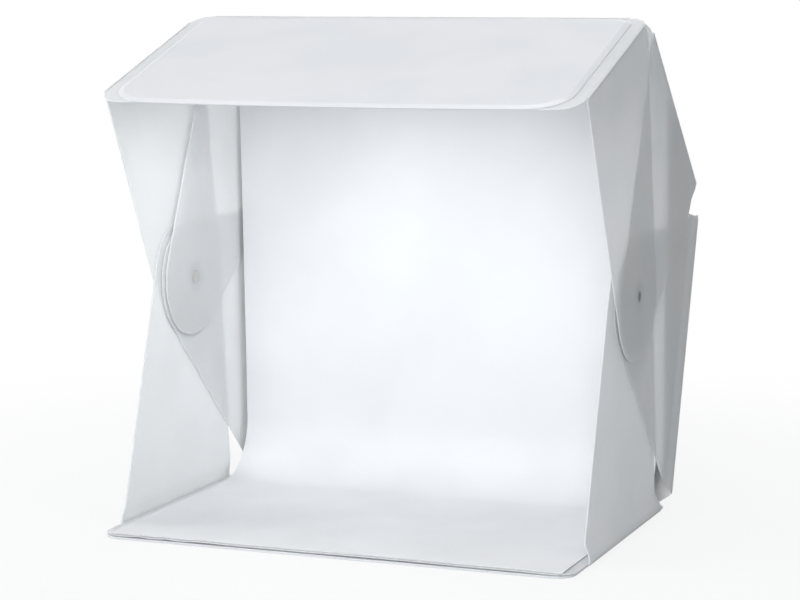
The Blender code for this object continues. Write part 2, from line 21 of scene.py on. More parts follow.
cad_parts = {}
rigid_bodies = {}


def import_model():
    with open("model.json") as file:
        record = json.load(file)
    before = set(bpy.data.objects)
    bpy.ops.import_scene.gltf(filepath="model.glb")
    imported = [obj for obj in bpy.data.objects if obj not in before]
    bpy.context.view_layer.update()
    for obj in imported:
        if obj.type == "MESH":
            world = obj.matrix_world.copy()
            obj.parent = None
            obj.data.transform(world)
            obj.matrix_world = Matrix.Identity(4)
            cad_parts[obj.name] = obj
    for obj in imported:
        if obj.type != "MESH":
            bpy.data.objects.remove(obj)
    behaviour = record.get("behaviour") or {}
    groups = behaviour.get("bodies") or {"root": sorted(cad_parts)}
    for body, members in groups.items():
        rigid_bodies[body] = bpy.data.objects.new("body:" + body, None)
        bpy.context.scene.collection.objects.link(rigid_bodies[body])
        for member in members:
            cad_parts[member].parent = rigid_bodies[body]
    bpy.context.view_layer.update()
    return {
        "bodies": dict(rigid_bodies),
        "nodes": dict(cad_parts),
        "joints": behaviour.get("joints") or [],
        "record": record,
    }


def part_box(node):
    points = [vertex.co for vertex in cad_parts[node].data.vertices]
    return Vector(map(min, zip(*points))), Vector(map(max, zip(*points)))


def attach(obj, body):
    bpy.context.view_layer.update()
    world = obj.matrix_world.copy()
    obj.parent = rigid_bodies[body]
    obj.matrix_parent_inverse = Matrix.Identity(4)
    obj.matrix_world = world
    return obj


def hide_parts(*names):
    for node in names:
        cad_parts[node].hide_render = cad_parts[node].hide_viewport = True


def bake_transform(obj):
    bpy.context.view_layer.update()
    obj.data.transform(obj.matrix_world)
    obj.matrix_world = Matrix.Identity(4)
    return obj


LOG = logging.getLogger("light_tent")
MM = 0.001
MERGE = 0.01 * MM
FLAT_ANGLE = math.radians(0.5)
BORDER_ANGLE = math.radians(2)
SHARP_ANGLE = math.radians(32)
# How a face of a plate is told by the cosine to the plate's normal: broad above, a cut side below.
BROAD_COSINE = 0.9999
SIDE_COSINE = 0.3
# Numbers of the Mix node's colour sockets, which share their names with others of its sockets.
MIX_FIRST, MIX_SECOND, MIX_RESULT = 6, 7, 2
# The part of a noise node's range that most of its values lie in.
NOISE_LOW, NOISE_HIGH = 0.3, 0.7
# How far each LED bar's middle line is from the ridge.
BAR_FROM_RIDGE = {"rear": 0.085, "front": 0.195}

Colour = tuple[float, float, float, float]
Shift = Callable[[Vector], Vector]


# Shader helpers


def linear(hex_code: str) -> Colour:
    """Turns an sRGB hex colour into the linear values that shaders take.

    Args:
        hex_code: the colour, such as "#F2F4F7".

    Returns:
        Red, green, blue and an alpha of one.
    """
    channels = [int(hex_code[i : i + 2], 16) / 255 for i in (1, 3, 5)]
    curved = [c / 12.92 if c <= 0.04045 else ((c + 0.055) / 1.055) ** 2.4 for c in channels]
    return (curved[0], curved[1], curved[2], 1.0)


def per_metre(pitch_mm: float) -> float:
    """Repeats in a metre of a pattern whose real pitch is given in millimetres."""
    return 1000.0 / pitch_mm


def add_node(
    tree: bpy.types.NodeTree, kind: str, inputs: dict | None = None, **settings: object
) -> bpy.types.Node:
    """Adds one node with its settings and links.

    Args:
        tree: the node tree that gets the node.
        kind: Blender's name of the node's type.
        inputs: a value or an output socket for each input, by the input's name or number.
        settings: properties of the node itself.

    Returns:
        The new node.
    """
    node = tree.nodes.new(kind)
    for name, value in settings.items():
        setattr(node, name, value)
    for key, value in (inputs or {}).items():
        if isinstance(value, bpy.types.NodeSocket):
            tree.links.new(value, node.inputs[key])
        else:
            node.inputs[key].default_value = value
    return node


# Finishes


@dataclass(frozen=True)
class Finish:
    """A finish of one colour. The others add the marks of how their material was made."""

    name: str
    colour: str
    roughness: float
    ior: float = 1.5
    metallic: float = 0.0

    def build(self) -> bpy.types.Material:
        """Makes the Blender material.

        Returns:
            The material, with the finish's marks in its nodes.
        """
        material = bpy.data.materials.new(self.name)
        material.use_nodes = True
        tree = material.node_tree
        tree.nodes.clear()
        where = add_node(tree, "ShaderNodeTexCoord").outputs["Object"]
        inputs = {
            "Base Color": linear(self.colour),
            "Roughness": self.roughness,
            "IOR": self.ior,
            "Metallic": self.metallic,
        }
        inputs.update(self.marks(tree, where))
        shader = add_node(tree, "ShaderNodeBsdfPrincipled", inputs)
        add_node(tree, "ShaderNodeOutputMaterial", {"Surface": self.surface(tree, shader, inputs)})
        return material

    def marks(self, tree: bpy.types.NodeTree, where: bpy.types.NodeSocket) -> dict:
        """Patterns of the finish.

        Args:
            tree: the material's node tree.
            where: coordinates in metres that stay with the piece.

        Returns:
            Sockets for the Principled node's inputs, by name.
        """
        return {}

    def surface(
        self, tree: bpy.types.NodeTree, shader: bpy.types.Node, inputs: dict
    ) -> bpy.types.NodeSocket:
        """What the surface shows.

        Args:
            tree: the material's node tree.
            shader: its Principled node.
            inputs: what the Principled node was given.

        Returns:
            The shader socket for the output.
        """
        return shader.outputs["BSDF"]


@dataclass(frozen=True)
class GrainedPlastic(Finish):
    """Moulded or rolled plastic: a fine grain that softens its highlights, and a slow change of shade.

    Real grains of this kind are 0.1 to 0.4 mm, too fine to show in the render, so each grain_mm is
    drawn as coarse as it needs to show.
    """

    grain_mm: float = 0.8
    grain_depth_mm: float = 0.015
    shade: str = "#FFFFFF"
    shade_mm: float = 90.0
    shade_detail: float = 2.0
    shade_low: float = 0.35
    shade_high: float = 0.65
    grain_detail: float = 1.0
    rough_spread: float = 0.06

    def marks(self, tree: bpy.types.NodeTree, where: bpy.types.NodeSocket) -> dict:
        """Grain, shade and a roughness that follows the grain.

        Args:
            tree: the material's node tree.
            where: coordinates in metres that stay with the piece.

        Returns:
            Sockets for the Principled node's inputs, by name.
        """
        slow = add_node(
            tree,
            "ShaderNodeTexNoise",
            {"Vector": where, "Scale": per_metre(self.shade_mm), "Detail": self.shade_detail},
        )
        share = add_node(
            tree,
            "ShaderNodeMapRange",
            {"Value": slow.outputs["Fac"], "From Min": self.shade_low, "From Max": self.shade_high},
            interpolation_type="SMOOTHSTEP",
        )
        colours = {
            0: share.outputs["Result"],
            MIX_FIRST: linear(self.colour),
            MIX_SECOND: linear(self.shade),
        }
        colour = add_node(tree, "ShaderNodeMix", colours, data_type="RGBA")
        grain = add_node(
            tree,
            "ShaderNodeTexNoise",
            {"Vector": where, "Scale": per_metre(self.grain_mm), "Detail": self.grain_detail},
        )
        pressed = {"Height": grain.outputs["Fac"], "Distance": self.grain_depth_mm * MM}
        bump = add_node(tree, "ShaderNodeBump", pressed)
        rough = add_node(
            tree,
            "ShaderNodeMapRange",
            {
                "Value": grain.outputs["Fac"],
                "From Min": NOISE_LOW,
                "From Max": NOISE_HIGH,
                "To Min": self.roughness - self.rough_spread,
                "To Max": self.roughness + self.rough_spread,
            },
        )
        return {
            "Base Color": colour.outputs[MIX_RESULT],
            "Normal": bump.outputs["Normal"],
            "Roughness": rough.outputs["Result"],
        }


@dataclass(frozen=True)
class FrostedSheet(GrainedPlastic):
    """Translucent sheet: light that sinks in comes out on both sides.

    A second sheet against its back shows as a soft shade. Where a magnet is sealed in, the shadow it
    casts in the light passing through is painted into the colour as a blurred grey dot, with a faint
    painted shade round it. The dot has the same place in Y and Z on all eight flaps, so one material
    serves them.
    """

    passed: str = "#FAF9F8"
    passed_share: float = 0.46
    # Painted shadow of the sealed magnet: a blurred grey dot, and a faint painted shade round it.
    dot: str = ""
    dot_centre: tuple[float, float] = (0.0, 0.0)
    dot_radius_mm: float = 7.5
    dot_core_share: float = 0.5
    dot_blur_share: float = 1.3
    halo: str = ""
    halo_radius_mm: float = 30.0

    def marks(self, tree: bpy.types.NodeTree, where: bpy.types.NodeSocket) -> dict:
        """Grain and shade, and the magnet's painted shadow, dot and halo, where there is one.

        Args:
            tree: the material's node tree.
            where: coordinates in metres that stay with the piece.

        Returns:
            Sockets for the Principled node's inputs, by name.
        """
        made = super().marks(tree, where)
        if not self.dot:
            return made
        radius = self.dot_radius_mm
        # Paints the magnet's shadow into the colour: first the faint halo of shade, then the dark blurred
        # dot.
        for colour, inner, outer in (
            (self.halo, radius, self.halo_radius_mm),
            (self.dot, radius * self.dot_core_share, radius * self.dot_blur_share),
        ):
            made["Base Color"] = self.spot(tree, where, made["Base Color"], colour, inner, outer)
        return made

    def spot(
        self,
        tree: bpy.types.NodeTree,
        where: bpy.types.NodeSocket,
        under: bpy.types.NodeSocket,
        colour: str,
        inner_mm: float,
        outer_mm: float,
    ) -> bpy.types.NodeSocket:
        """Lays a soft round spot of painted shade over a colour.

        Args:
            tree: the material's node tree.
            where: coordinates in metres.
            under: the colour under the spot.
            colour: the spot's colour.
            inner_mm: how far from its middle the spot is full.
            outer_mm: where it ends.

        Returns:
            The colour with the spot on it.
        """
        y, z = self.dot_centre
        away = add_node(tree, "ShaderNodeVectorMath", {0: where, 1: (0.0, y, z)}, operation="SUBTRACT")
        flat = {0: away.outputs["Vector"], 1: (0.0, 1.0, 1.0)}
        across = add_node(tree, "ShaderNodeVectorMath", flat, operation="MULTIPLY")
        far = add_node(tree, "ShaderNodeVectorMath", {0: across.outputs["Vector"]}, operation="LENGTH")
        share = add_node(
            tree,
            "ShaderNodeMapRange",
            {
                "Value": far.outputs["Value"],
                "From Min": inner_mm * MM,
                "From Max": outer_mm * MM,
                "To Min": 1.0,
                "To Max": 0.0,
            },
            interpolation_type="SMOOTHSTEP",
        )
        colours = {0: share.outputs["Result"], MIX_FIRST: under, MIX_SECOND: linear(colour)}
        return add_node(tree, "ShaderNodeMix", colours, data_type="RGBA").outputs[MIX_RESULT]

    def surface(
        self, tree: bpy.types.NodeTree, shader: bpy.types.Node, inputs: dict
    ) -> bpy.types.NodeSocket:
        """Adds the light that passes through, tinted a little by the sheet.

        Args:
            tree: the material's node tree.
            shader: its Principled node.
            inputs: what the Principled node was given.

        Returns:
            The shader socket for the output.
        """
        tint = {0: 1.0, MIX_FIRST: inputs["Base Color"], MIX_SECOND: linear(self.passed)}
        passed = add_node(tree, "ShaderNodeMix", tint, data_type="RGBA", blend_type="MULTIPLY")
        through = {"Color": passed.outputs[MIX_RESULT], "Normal": inputs["Normal"]}
        glow = add_node(tree, "ShaderNodeBsdfTranslucent", through)
        both = {0: self.passed_share, 1: shader.outputs["BSDF"], 2: glow.outputs["BSDF"]}
        return add_node(tree, "ShaderNodeMixShader", both).outputs["Shader"]


@dataclass(frozen=True)
class WovenStrip(Finish):
    """Woven nylon strip with hooks or loops: small tufts in rows, with painted shade in the hollows between
    them.
    """

    tuft_mm: float = 1.5
    tuft_depth_mm: float = 0.30
    tuft_shuffle: float = 0.35
    tuft_top: float = 0.1
    tuft_foot: float = 0.75
    # Painted shade in the hollows between the tufts.
    between: str = "#B9BAB8"

    def marks(self, tree: bpy.types.NodeTree, where: bpy.types.NodeSocket) -> dict:
        """Tufts in height, with painted shade in the colour between them.

        Args:
            tree: the material's node tree.
            where: coordinates in metres that stay with the piece.

        Returns:
            Sockets for the Principled node's inputs, by name.
        """
        cells = {"Vector": where, "Scale": per_metre(self.tuft_mm), "Randomness": self.tuft_shuffle}
        far = add_node(tree, "ShaderNodeTexVoronoi", cells)
        tuft = add_node(
            tree,
            "ShaderNodeMapRange",
            {
                "Value": far.outputs["Distance"],
                "From Min": self.tuft_top,
                "From Max": self.tuft_foot,
                "To Min": 1.0,
                "To Max": 0.0,
            },
            interpolation_type="SMOOTHSTEP",
        )
        # Painted shade: the colour darkens from the tuft tops down into the hollows between them.
        colours = {
            0: tuft.outputs["Result"],
            MIX_FIRST: linear(self.between),
            MIX_SECOND: linear(self.colour),
        }
        colour = add_node(tree, "ShaderNodeMix", colours, data_type="RGBA")
        raised = {"Height": tuft.outputs["Result"], "Distance": self.tuft_depth_mm * MM}
        bump = add_node(tree, "ShaderNodeBump", raised)
        return {"Base Color": colour.outputs[MIX_RESULT], "Normal": bump.outputs["Normal"]}


@dataclass(frozen=True)
class DrawnMetal(Finish):
    """Metal with fine lines along X from the die or the brush, which stretch its highlights.

    Real lines are 0.05 to 0.2 mm apart, too fine to show, so they are drawn wider.
    """

    line_mm: float = 0.7
    line_length_mm: float = 60.0
    line_depth_mm: float = 0.006
    line_detail: float = 2.0
    rough_spread: float = 0.07

    def marks(self, tree: bpy.types.NodeTree, where: bpy.types.NodeSocket) -> dict:
        """Drawn lines in height and roughness.

        Args:
            tree: the material's node tree.
            where: coordinates in metres that stay with the piece.

        Returns:
            Sockets for the Principled node's inputs, by name.
        """
        stretch = {0: where, 1: (self.line_mm / self.line_length_mm, 1.0, 1.0)}
        drawn = add_node(tree, "ShaderNodeVectorMath", stretch, operation="MULTIPLY")
        lines = add_node(
            tree,
            "ShaderNodeTexNoise",
            {
                "Vector": drawn.outputs["Vector"],
                "Scale": per_metre(self.line_mm),
                "Detail": self.line_detail,
            },
        )
        pressed = {"Height": lines.outputs["Fac"], "Distance": self.line_depth_mm * MM}
        bump = add_node(tree, "ShaderNodeBump", pressed)
        rough = add_node(
            tree,
            "ShaderNodeMapRange",
            {
                "Value": lines.outputs["Fac"],
                "From Min": NOISE_LOW,
                "From Max": NOISE_HIGH,
                "To Min": self.roughness - self.rough_spread,
                "To Max": self.roughness + self.rough_spread,
            },
        )
        return {"Normal": bump.outputs["Normal"], "Roughness": rough.outputs["Result"]}


class Dress(Enum):
    """The tent's finishes, each with the record's material slot that it belongs to."""

    FLAP = ("flap", "folding_sheet")
    PANEL = ("panel", "folding_sheet")
    CUT_EDGE = ("cut_edge", "folding_sheet")
    BOARD = ("board", "stiffening_board")
    BOARD_EDGE = ("board_edge", "stiffening_board")
    BACKDROP = ("backdrop", "backdrop_sheet")
    NICKEL = ("nickel", "magnet")
    STRIP = ("strip", "grip_strip")
    FOAM = ("foam", "grip_strip")
    ALUMINIUM = ("aluminium", "aluminium")
    MASK = ("mask", "led_board")
    PACKAGE = ("package", "led_board")
    PHOSPHOR = ("phosphor", "led_board")
    SOLDER = ("solder", "led_board")
    RESISTOR = ("resistor", "led_board")
    CAP = ("cap", "bar_cap")
    LEAD = ("lead", "lead")
    INLET = ("inlet", "inlet")

    @property
    def slot(self) -> str:
        """The record's slot name."""
        return self.value[1]


FINISHES: dict[Dress, Finish] = {
    # Polypropylene sheet, extruded over a pebbled roller: a satin skin, white light all through it.
    Dress.FLAP: FrostedSheet(
        "extruded_polypropylene_flap",
        "#F9FAFB",
        roughness=0.44,
        ior=1.49,
        grain_mm=1.1,
        grain_depth_mm=0.02,
        shade="#F6F8F9",
        shade_mm=85.0,
        # The magnet's shadow in the light passing through the flap, painted in as a grey dot with a faint
        # halo of shade.
        dot="#8E979E",
        dot_centre=(0.0525, 0.3080),
        halo="#EFF2F4",
    ),
    # The same satin sheet on the panels, where no magnet shows through.
    Dress.PANEL: FrostedSheet(
        "extruded_polypropylene_panel",
        "#F9FAFB",
        roughness=0.44,
        ior=1.49,
        grain_mm=1.1,
        grain_depth_mm=0.02,
        shade="#F6F8F9",
        shade_mm=85.0,
    ),
    # Its die-cut rim, pressed thin by the die, which lets more light out than the faces do.
    Dress.CUT_EDGE: FrostedSheet(
        "die_cut_polypropylene_edge",
        "#FDFDFE",
        roughness=0.40,
        ior=1.49,
        grain_mm=0.9,
        shade="#F8FAFB",
        shade_mm=12.0,
        passed="#FEFEFE",
        passed_share=0.62,
    ),
    # Hollow polypropylene board, rolled flat: broad, even and satin.
    Dress.BOARD: FrostedSheet(
        "rolled_polypropylene_board",
        "#F4F5F8",
        roughness=0.40,
        ior=1.49,
        grain_mm=1.0,
        grain_depth_mm=0.015,
        shade="#F0F2F5",
        shade_mm=130.0,
        passed_share=0.20,
    ),
    # Its trimmed edge, rougher than its faces and open to the light inside the board.
    Dress.BOARD_EDGE: FrostedSheet(
        "trimmed_polypropylene_board_edge",
        "#FBFCFD",
        roughness=0.48,
        ior=1.49,
        grain_mm=0.9,
        shade="#F5F6F8",
        shade_mm=9.0,
        passed_share=0.45,
    ),
    # Calendered vinyl: dead matt, so that no lamp shows in it, and thin enough to glow at the back.
    Dress.BACKDROP: FrostedSheet(
        "calendered_matt_vinyl",
        "#EFF0F2",
        roughness=0.66,
        ior=1.53,
        grain_mm=1.2,
        shade="#F4F5F7",
        shade_mm=170.0,
        passed="#FBFAF6",
        passed_share=0.18,
    ),
    # Nickel-plated steel: bright and faintly warm, with fine turning marks.
    Dress.NICKEL: DrawnMetal(
        "nickel_plated_steel",
        "#C9C7C2",
        roughness=0.24,
        metallic=1.0,
        line_mm=0.5,
        line_length_mm=3.0,
    ),
    # Woven nylon hook and loop strip: fuzzy rows that swallow highlights.
    Dress.STRIP: WovenStrip(
        "woven_nylon_grip_strip",
        "#EDEEEC",
        roughness=0.88,
        ior=1.53,
    ),
    # Closed-cell foam tape: open-looking grain and no gloss.
    Dress.FOAM: GrainedPlastic(
        "closed_cell_foam_tape",
        "#E6E7E6",
        roughness=0.80,
        grain_depth_mm=0.08,
        shade="#DADBDA",
        shade_mm=6.0,
    ),
    # Extruded aluminium, clear anodised: silver-grey with lines along its length.
    Dress.ALUMINIUM: DrawnMetal(
        "clear_anodised_aluminium",
        "#D5D6D8",
        roughness=0.34,
        metallic=1.0,
    ),
    # White solder mask, screen printed: smooth and slightly glossy, with an orange-peel skin.
    Dress.MASK: GrainedPlastic(
        "screened_white_solder_mask",
        "#EFF1EF",
        roughness=0.28,
        ior=1.52,
        grain_mm=2.0,
        grain_depth_mm=0.004,
        shade="#E9ECE9",
    ),
    # Moulded polyamide LED package: chalky white.
    Dress.PACKAGE: GrainedPlastic(
        "moulded_polyamide_package",
        "#F4F4F0",
        roughness=0.38,
        ior=1.53,
        grain_mm=0.6,
        shade="#EEEEE8",
        shade_mm=3.0,
    ),
    # Phosphor in cast silicone: yellow, wet-looking and a little uneven.
    Dress.PHOSPHOR: GrainedPlastic(
        "cast_phosphor_silicone",
        "#F0D873",
        roughness=0.24,
        ior=1.41,
        grain_mm=0.5,
        shade="#E9C95A",
        shade_mm=1.5,
    ),
    # Tinned copper: dull silver pads.
    Dress.SOLDER: DrawnMetal(
        "tinned_copper",
        "#D8D9D6",
        roughness=0.32,
        metallic=1.0,
        line_length_mm=2.0,
    ),
    # Fired resistor body: nearly black with a pale grain.
    Dress.RESISTOR: GrainedPlastic(
        "glazed_resistor_body",
        "#26282B",
        roughness=0.35,
        ior=1.6,
        grain_mm=0.4,
        shade="#34373B",
        shade_mm=1.0,
    ),
    # Moulded ABS: satin grey with a fine spark-eroded grain.
    Dress.CAP: GrainedPlastic(
        "moulded_grey_abs",
        "#A2A5A8",
        roughness=0.46,
        ior=1.54,
        grain_mm=0.7,
        grain_depth_mm=0.02,
        shade="#9A9DA0",
    ),
    # Extruded PVC: smooth grey with a dull gloss.
    Dress.LEAD: GrainedPlastic(
        "extruded_grey_pvc",
        "#7C7E81",
        roughness=0.42,
        ior=1.53,
        grain_mm=1.5,
        grain_depth_mm=0.01,
        shade="#747679",
    ),
    # Moulded nylon: charcoal with a fine grain.
    Dress.INLET: GrainedPlastic(
        "moulded_black_nylon",
        "#2B2C2E",
        roughness=0.42,
        ior=1.53,
        grain_mm=0.7,
        grain_depth_mm=0.02,
        shade="#333437",
    ),
}


class Wardrobe:
    """Makes each finish once and puts it on pieces."""

    def __init__(self) -> None:
        """Starts with nothing made."""
        self.made: dict[Dress, bpy.types.Material] = {}

    def material(self, dress: Dress) -> bpy.types.Material:
        """The material of a finish, made when it is first asked for.

        Args:
            dress: the finish.

        Returns:
            Its material.
        """
        if dress not in self.made:
            self.made[dress] = FINISHES[dress].build()
        return self.made[dress]

    def put_on(self, obj: bpy.types.Object, *dresses: Dress) -> None:
        """Gives a piece its finishes.

        Args:
            obj: the piece.
            dresses: its finishes by material index.
        """
        obj.data.materials.clear()
        for dress in dresses:
            obj.data.materials.append(self.material(dress))


# Mesh helpers


def new_object(name: str, bm: bmesh.types.BMesh) -> bpy.types.Object:
    """Turns a finished bmesh into a linked object and frees the bmesh.

    Args:
        name: the name of the object and of its mesh.
        bm: the finished bmesh.

    Returns:
        The new object.
    """
    mesh = bpy.data.meshes.new(name)
    bm.to_mesh(mesh)
    bm.free()
    obj = bpy.data.objects.new(name, mesh)
    bpy.context.scene.collection.objects.link(obj)
    return obj


def smooth_edges(bm: bmesh.types.BMesh, kept_sharp: Sequence[bmesh.types.BMEdge] = ()) -> None:
    """Shades a mesh smooth but for its corners.

    Args:
        bm: the mesh.
        kept_sharp: edges that stay sharp whatever their angle.
    """
    for face in bm.faces:
        face.smooth = True
    for edge in bm.edges:
        edge.smooth = len(edge.link_faces) == 2 and edge.calc_face_angle(math.pi) < SHARP_ANGLE
    for edge in kept_sharp:
        if edge.is_valid:
            edge.smooth = False


def add_box(bm: bmesh.types.BMesh, size: Sequence[float], place: Matrix, round_by: float = 0.0) -> None:
    """Adds a box with softened edges.

    Args:
        bm: the mesh that gets it.
        size: lengths along X, Y and Z.
        place: where its middle goes.
        round_by: radius of its edges.
    """
    made = bmesh.ops.create_cube(bm, size=1, matrix=place @ Matrix.Diagonal((*size, 1)))
    if round_by > 0:
        edges = list({e for v in made["verts"] for e in v.link_edges})
        bmesh.ops.bevel(bm, geom=edges, offset=round_by, segments=2, affect="EDGES")


def add_turned(
    bm: bmesh.types.BMesh, outline: Sequence[tuple[float, float]], sides: int, place: Matrix
) -> None:
    """Adds a closed turned body about Z.

    Args:
        bm: the mesh that gets it.
        outline: (radius, height) pairs from the bottom's middle to the top's middle.
        sides: how many facets go round.
        place: where its axis foot goes.
    """
    rings = []
    for radius, height in outline:
        if radius <= 0:
            rings.append([bm.verts.new(place @ Vector((0, 0, height)))])
            continue
        turns = [2 * math.pi * i / sides for i in range(sides)]
        ring = [Vector((radius * math.cos(a), radius * math.sin(a), height)) for a in turns]
        rings.append([bm.verts.new(place @ p) for p in ring])
    for low, high in zip(rings, rings[1:]):
        for i in range(sides):
            j = (i + 1) % sides
            corners = [low[i % len(low)], low[j % len(low)], high[j % len(high)], high[i % len(high)]]
            unique = list(dict.fromkeys(corners))
            if len(unique) > 2:
                bm.faces.new(unique)


def arc(centre: Vector, first: Vector, axis: Vector, angle: float, steps: int) -> list[Vector]:
    """Points on an arc.

    Args:
        centre: the arc's centre.
        first: from the centre to the first point.
        axis: the axis it turns about.
        angle: how far it turns.
        steps: how many chords it has.

    Returns:
        The points, both ends included.
    """
    return [centre + Matrix.Rotation(angle * i / steps, 3, axis) @ first for i in range(steps + 1)]


def eased(value: float) -> float:
    """A smooth step from zero to one."""
    held = min(1.0, max(0.0, value))
    return held * held * (3 - 2 * held)


# Plates


@dataclass
class Lean:
    """The slope beside its crease over which a flap moves aside into its own layer."""

    node: bpy.types.Object
    joint: dict
    start: float = 4.0 * MM
    end: float = 26.0 * MM
    steps: int = 6

    def __post_init__(self) -> None:
        """Measures the flap."""
        self.crease = Vector(self.joint["pos_m"])
        self.away = Vector((1, 0, 0)).cross(Vector(self.joint["axis"])).normalized()
        places = [v.co for v in self.node.data.vertices]
        if sum(self.reach(co) for co in places) < 0:
            self.away = -self.away
        flat = [co.x for co in places if self.reach(co) > self.end - MERGE]
        self.aside = (min(flat) + max(flat)) / 2 - self.crease.x

    def reach(self, co: Vector) -> float:
        """How far a point of the flap is from the crease."""
        return (co - self.crease).dot(self.away)

    def share(self, co: Vector) -> float:
        """How far up the slope a point is."""
        return min(1.0, max(0.0, (self.reach(co) - self.start) / (self.end - self.start)))

    def straighten(self, bm: bmesh.types.BMesh) -> None:
        """Lays the CAD flap flat, in the plane of its crease.

        Args:
            bm: the flap.
        """
        for vert in bm.verts:
            vert.co.x -= self.aside * self.share(vert.co)
        bm.normal_update()

    def offset(self, co: Vector) -> Vector:
        """How far a point of the flat flap moves aside, with a soft start and end."""
        return Vector((self.aside * eased(self.share(co)), 0, 0))

    def cuts(self) -> list[tuple[Vector, Vector]]:
        """Divides the flap over its slope.

        Returns:
            The dividing planes, as a point and a normal each.
        """
        run = self.end - self.start
        reaches = [self.start + run * i / self.steps for i in range(self.steps + 1)]
        return [(self.crease + self.away * r, self.away) for r in reaches]


@dataclass
class PlateMaker:
    """Makes flat CAD plates again with thinned rims, soft edges and no open magnet pocket."""

    wardrobe: Wardrobe
    rim_width: float = 2.2 * MM
    rim_rise: float = 0.22 * MM
    rim_taper: float = 0.4 * MM
    board_rim_width: float = 8.0 * MM
    board_taper: float = 2.35 * MM
    slope_width: float = 0.9 * MM
    edge_round: float = 0.25 * MM
    pocket_reach: float = 10.0 * MM
    same_level: float = 0.1 * MM

    def build(
        self,
        node: bpy.types.Object,
        body: str,
        name: str,
        face: Dress,
        edge: Dress,
        magnet: str = "",
        inside: Vector | None = None,
        cuts: Sequence[tuple[Vector, Vector]] = (),
        shift: Shift | None = None,
        lean: Lean | None = None,
    ) -> bpy.types.Object:
        """Makes one plate.

        Args:
            node: the CAD plate.
            body: the body that it rides on.
            name: the new piece's name.
            face: finish of its broad faces.
            edge: finish of its rim and cut edges.
            magnet: the magnet node that it holds, or nothing.
            inside: a point inside the tent, for a board that is bevelled on its outer face.
            cuts: planes, as a point and a normal, that divide it so that it can bend.
            shift: how far each point moves, if it isn't flat.
            lean: the slope that takes it into its layer, for a flap.

        Returns:
            The new piece, which rides on the body and stands for the CAD plate.
        """
        bm = bmesh.new()
        bm.from_mesh(node.data)
        bmesh.ops.remove_doubles(bm, verts=bm.verts, dist=MERGE)
        if lean:
            lean.straighten(bm)
            cuts, shift = lean.cuts(), lean.offset
        normal = max(bm.faces, key=lambda f: f.calc_area()).normal.copy()
        if magnet:
            low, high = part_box(magnet)
            self.seal_pocket(bm, (low + high) / 2, normal)
        bmesh.ops.dissolve_limit(bm, angle_limit=FLAT_ANGLE, verts=bm.verts, edges=bm.edges)
        bm.normal_update()
        borders = self.add_rims(bm, normal, self.board_rim_width if inside else self.rim_width)
        self.shape_rims(bm, normal, inside)
        for point, across in cuts:
            everything = bm.verts[:] + bm.edges[:] + bm.faces[:]
            bmesh.ops.bisect_plane(bm, geom=everything, dist=MERGE, plane_co=point, plane_no=across)
        bm.normal_update()
        borders = [e for e in bm.edges if self.is_border(e)] if cuts else borders
        smooth_edges(bm, borders)
        if shift:
            for vert in bm.verts:
                vert.co += shift(vert.co)
            bm.normal_update()
        obj = new_object(name, bm)
        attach(obj, body)
        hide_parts(node.name)
        self.wardrobe.put_on(obj, face, edge)
        return obj

    def seal_pocket(self, bm: bmesh.types.BMesh, centre: Vector, normal: Vector) -> None:
        """Takes the magnet's pocket out, so that the magnet lies sealed inside the plate.

        Args:
            bm: the plate.
            centre: the magnet's middle.
            normal: square to the plate.
        """

        def across(co: Vector) -> float:
            """Distance from the magnet's middle in the plate's plane."""
            away = co - centre
            return (away - away.dot(normal) * normal).length

        inside = [v for v in bm.verts if across(v.co) < self.pocket_reach]
        levels = [v.co.dot(normal) for v in bm.verts]
        low, high = min(levels), max(levels)
        mouth = min(inside, key=lambda v: min(high - v.co.dot(normal), v.co.dot(normal) - low))
        level = mouth.co.dot(normal)
        bmesh.ops.delete(bm, geom=inside, context="VERTS")
        left = [f for f in bm.faces if all(abs(v.co.dot(normal) - level) < MERGE for v in f.verts)]
        bmesh.ops.delete(bm, geom=left, context="FACES_ONLY")
        loose = [e for e in bm.edges if not e.link_faces]
        bmesh.ops.delete(bm, geom=loose, context="EDGES")
        rim = [e for e in bm.edges if e.is_boundary]
        bmesh.ops.edgeloop_fill(bm, edges=rim)
        bmesh.ops.recalc_face_normals(bm, faces=bm.faces)

    def broad_faces(self, bm: bmesh.types.BMesh, outward: Vector) -> list[bmesh.types.BMFace]:
        """Finds the broad faces on one side of a plate.

        Args:
            bm: the plate.
            outward: square to the plate, out of that side.

        Returns:
            The outermost of the faces that look that way.
        """
        flat = [f for f in bm.faces if f.normal.dot(outward) > BROAD_COSINE]
        level = max(f.verts[0].co.dot(outward) for f in flat)
        return [f for f in flat if f.verts[0].co.dot(outward) > level - self.same_level]

    def add_rims(self, bm: bmesh.types.BMesh, normal: Vector, width: float) -> list[bmesh.types.BMEdge]:
        """Sinks both broad faces a little inside a rim.

        Args:
            bm: the plate.
            normal: square to the plate.
            width: the rim's width.

        Returns:
            The edges round the sunk faces.
        """
        for face in bm.faces:
            face.material_index = 1
        borders = []
        for side in (1, -1):
            broad = self.broad_faces(bm, normal * side)
            inset = {"use_boundary": True, "use_even_offset": True}
            bmesh.ops.inset_region(bm, faces=broad, thickness=width, **inset)
            made = bmesh.ops.inset_region(
                bm, faces=broad, thickness=self.slope_width, depth=-self.rim_rise, **inset
            )
            for face in broad + made["faces"]:
                face.material_index = 0
            inner = set(broad)
            borders += [e for f in made["faces"] for e in f.edges if inner & set(e.link_faces)]
        return borders

    def is_border(self, edge: bmesh.types.BMEdge) -> bool:
        """Tells the edges of the slopes between rims and sunk faces, after the plate was divided.

        Args:
            edge: an edge of the plate.

        Returns:
            True if the edge bends and touches a sunk face or its slope.
        """
        if len(edge.link_faces) != 2:
            return False
        angle = edge.calc_face_angle(0.0)
        return angle > BORDER_ANGLE and 0 in {f.material_index for f in edge.link_faces}

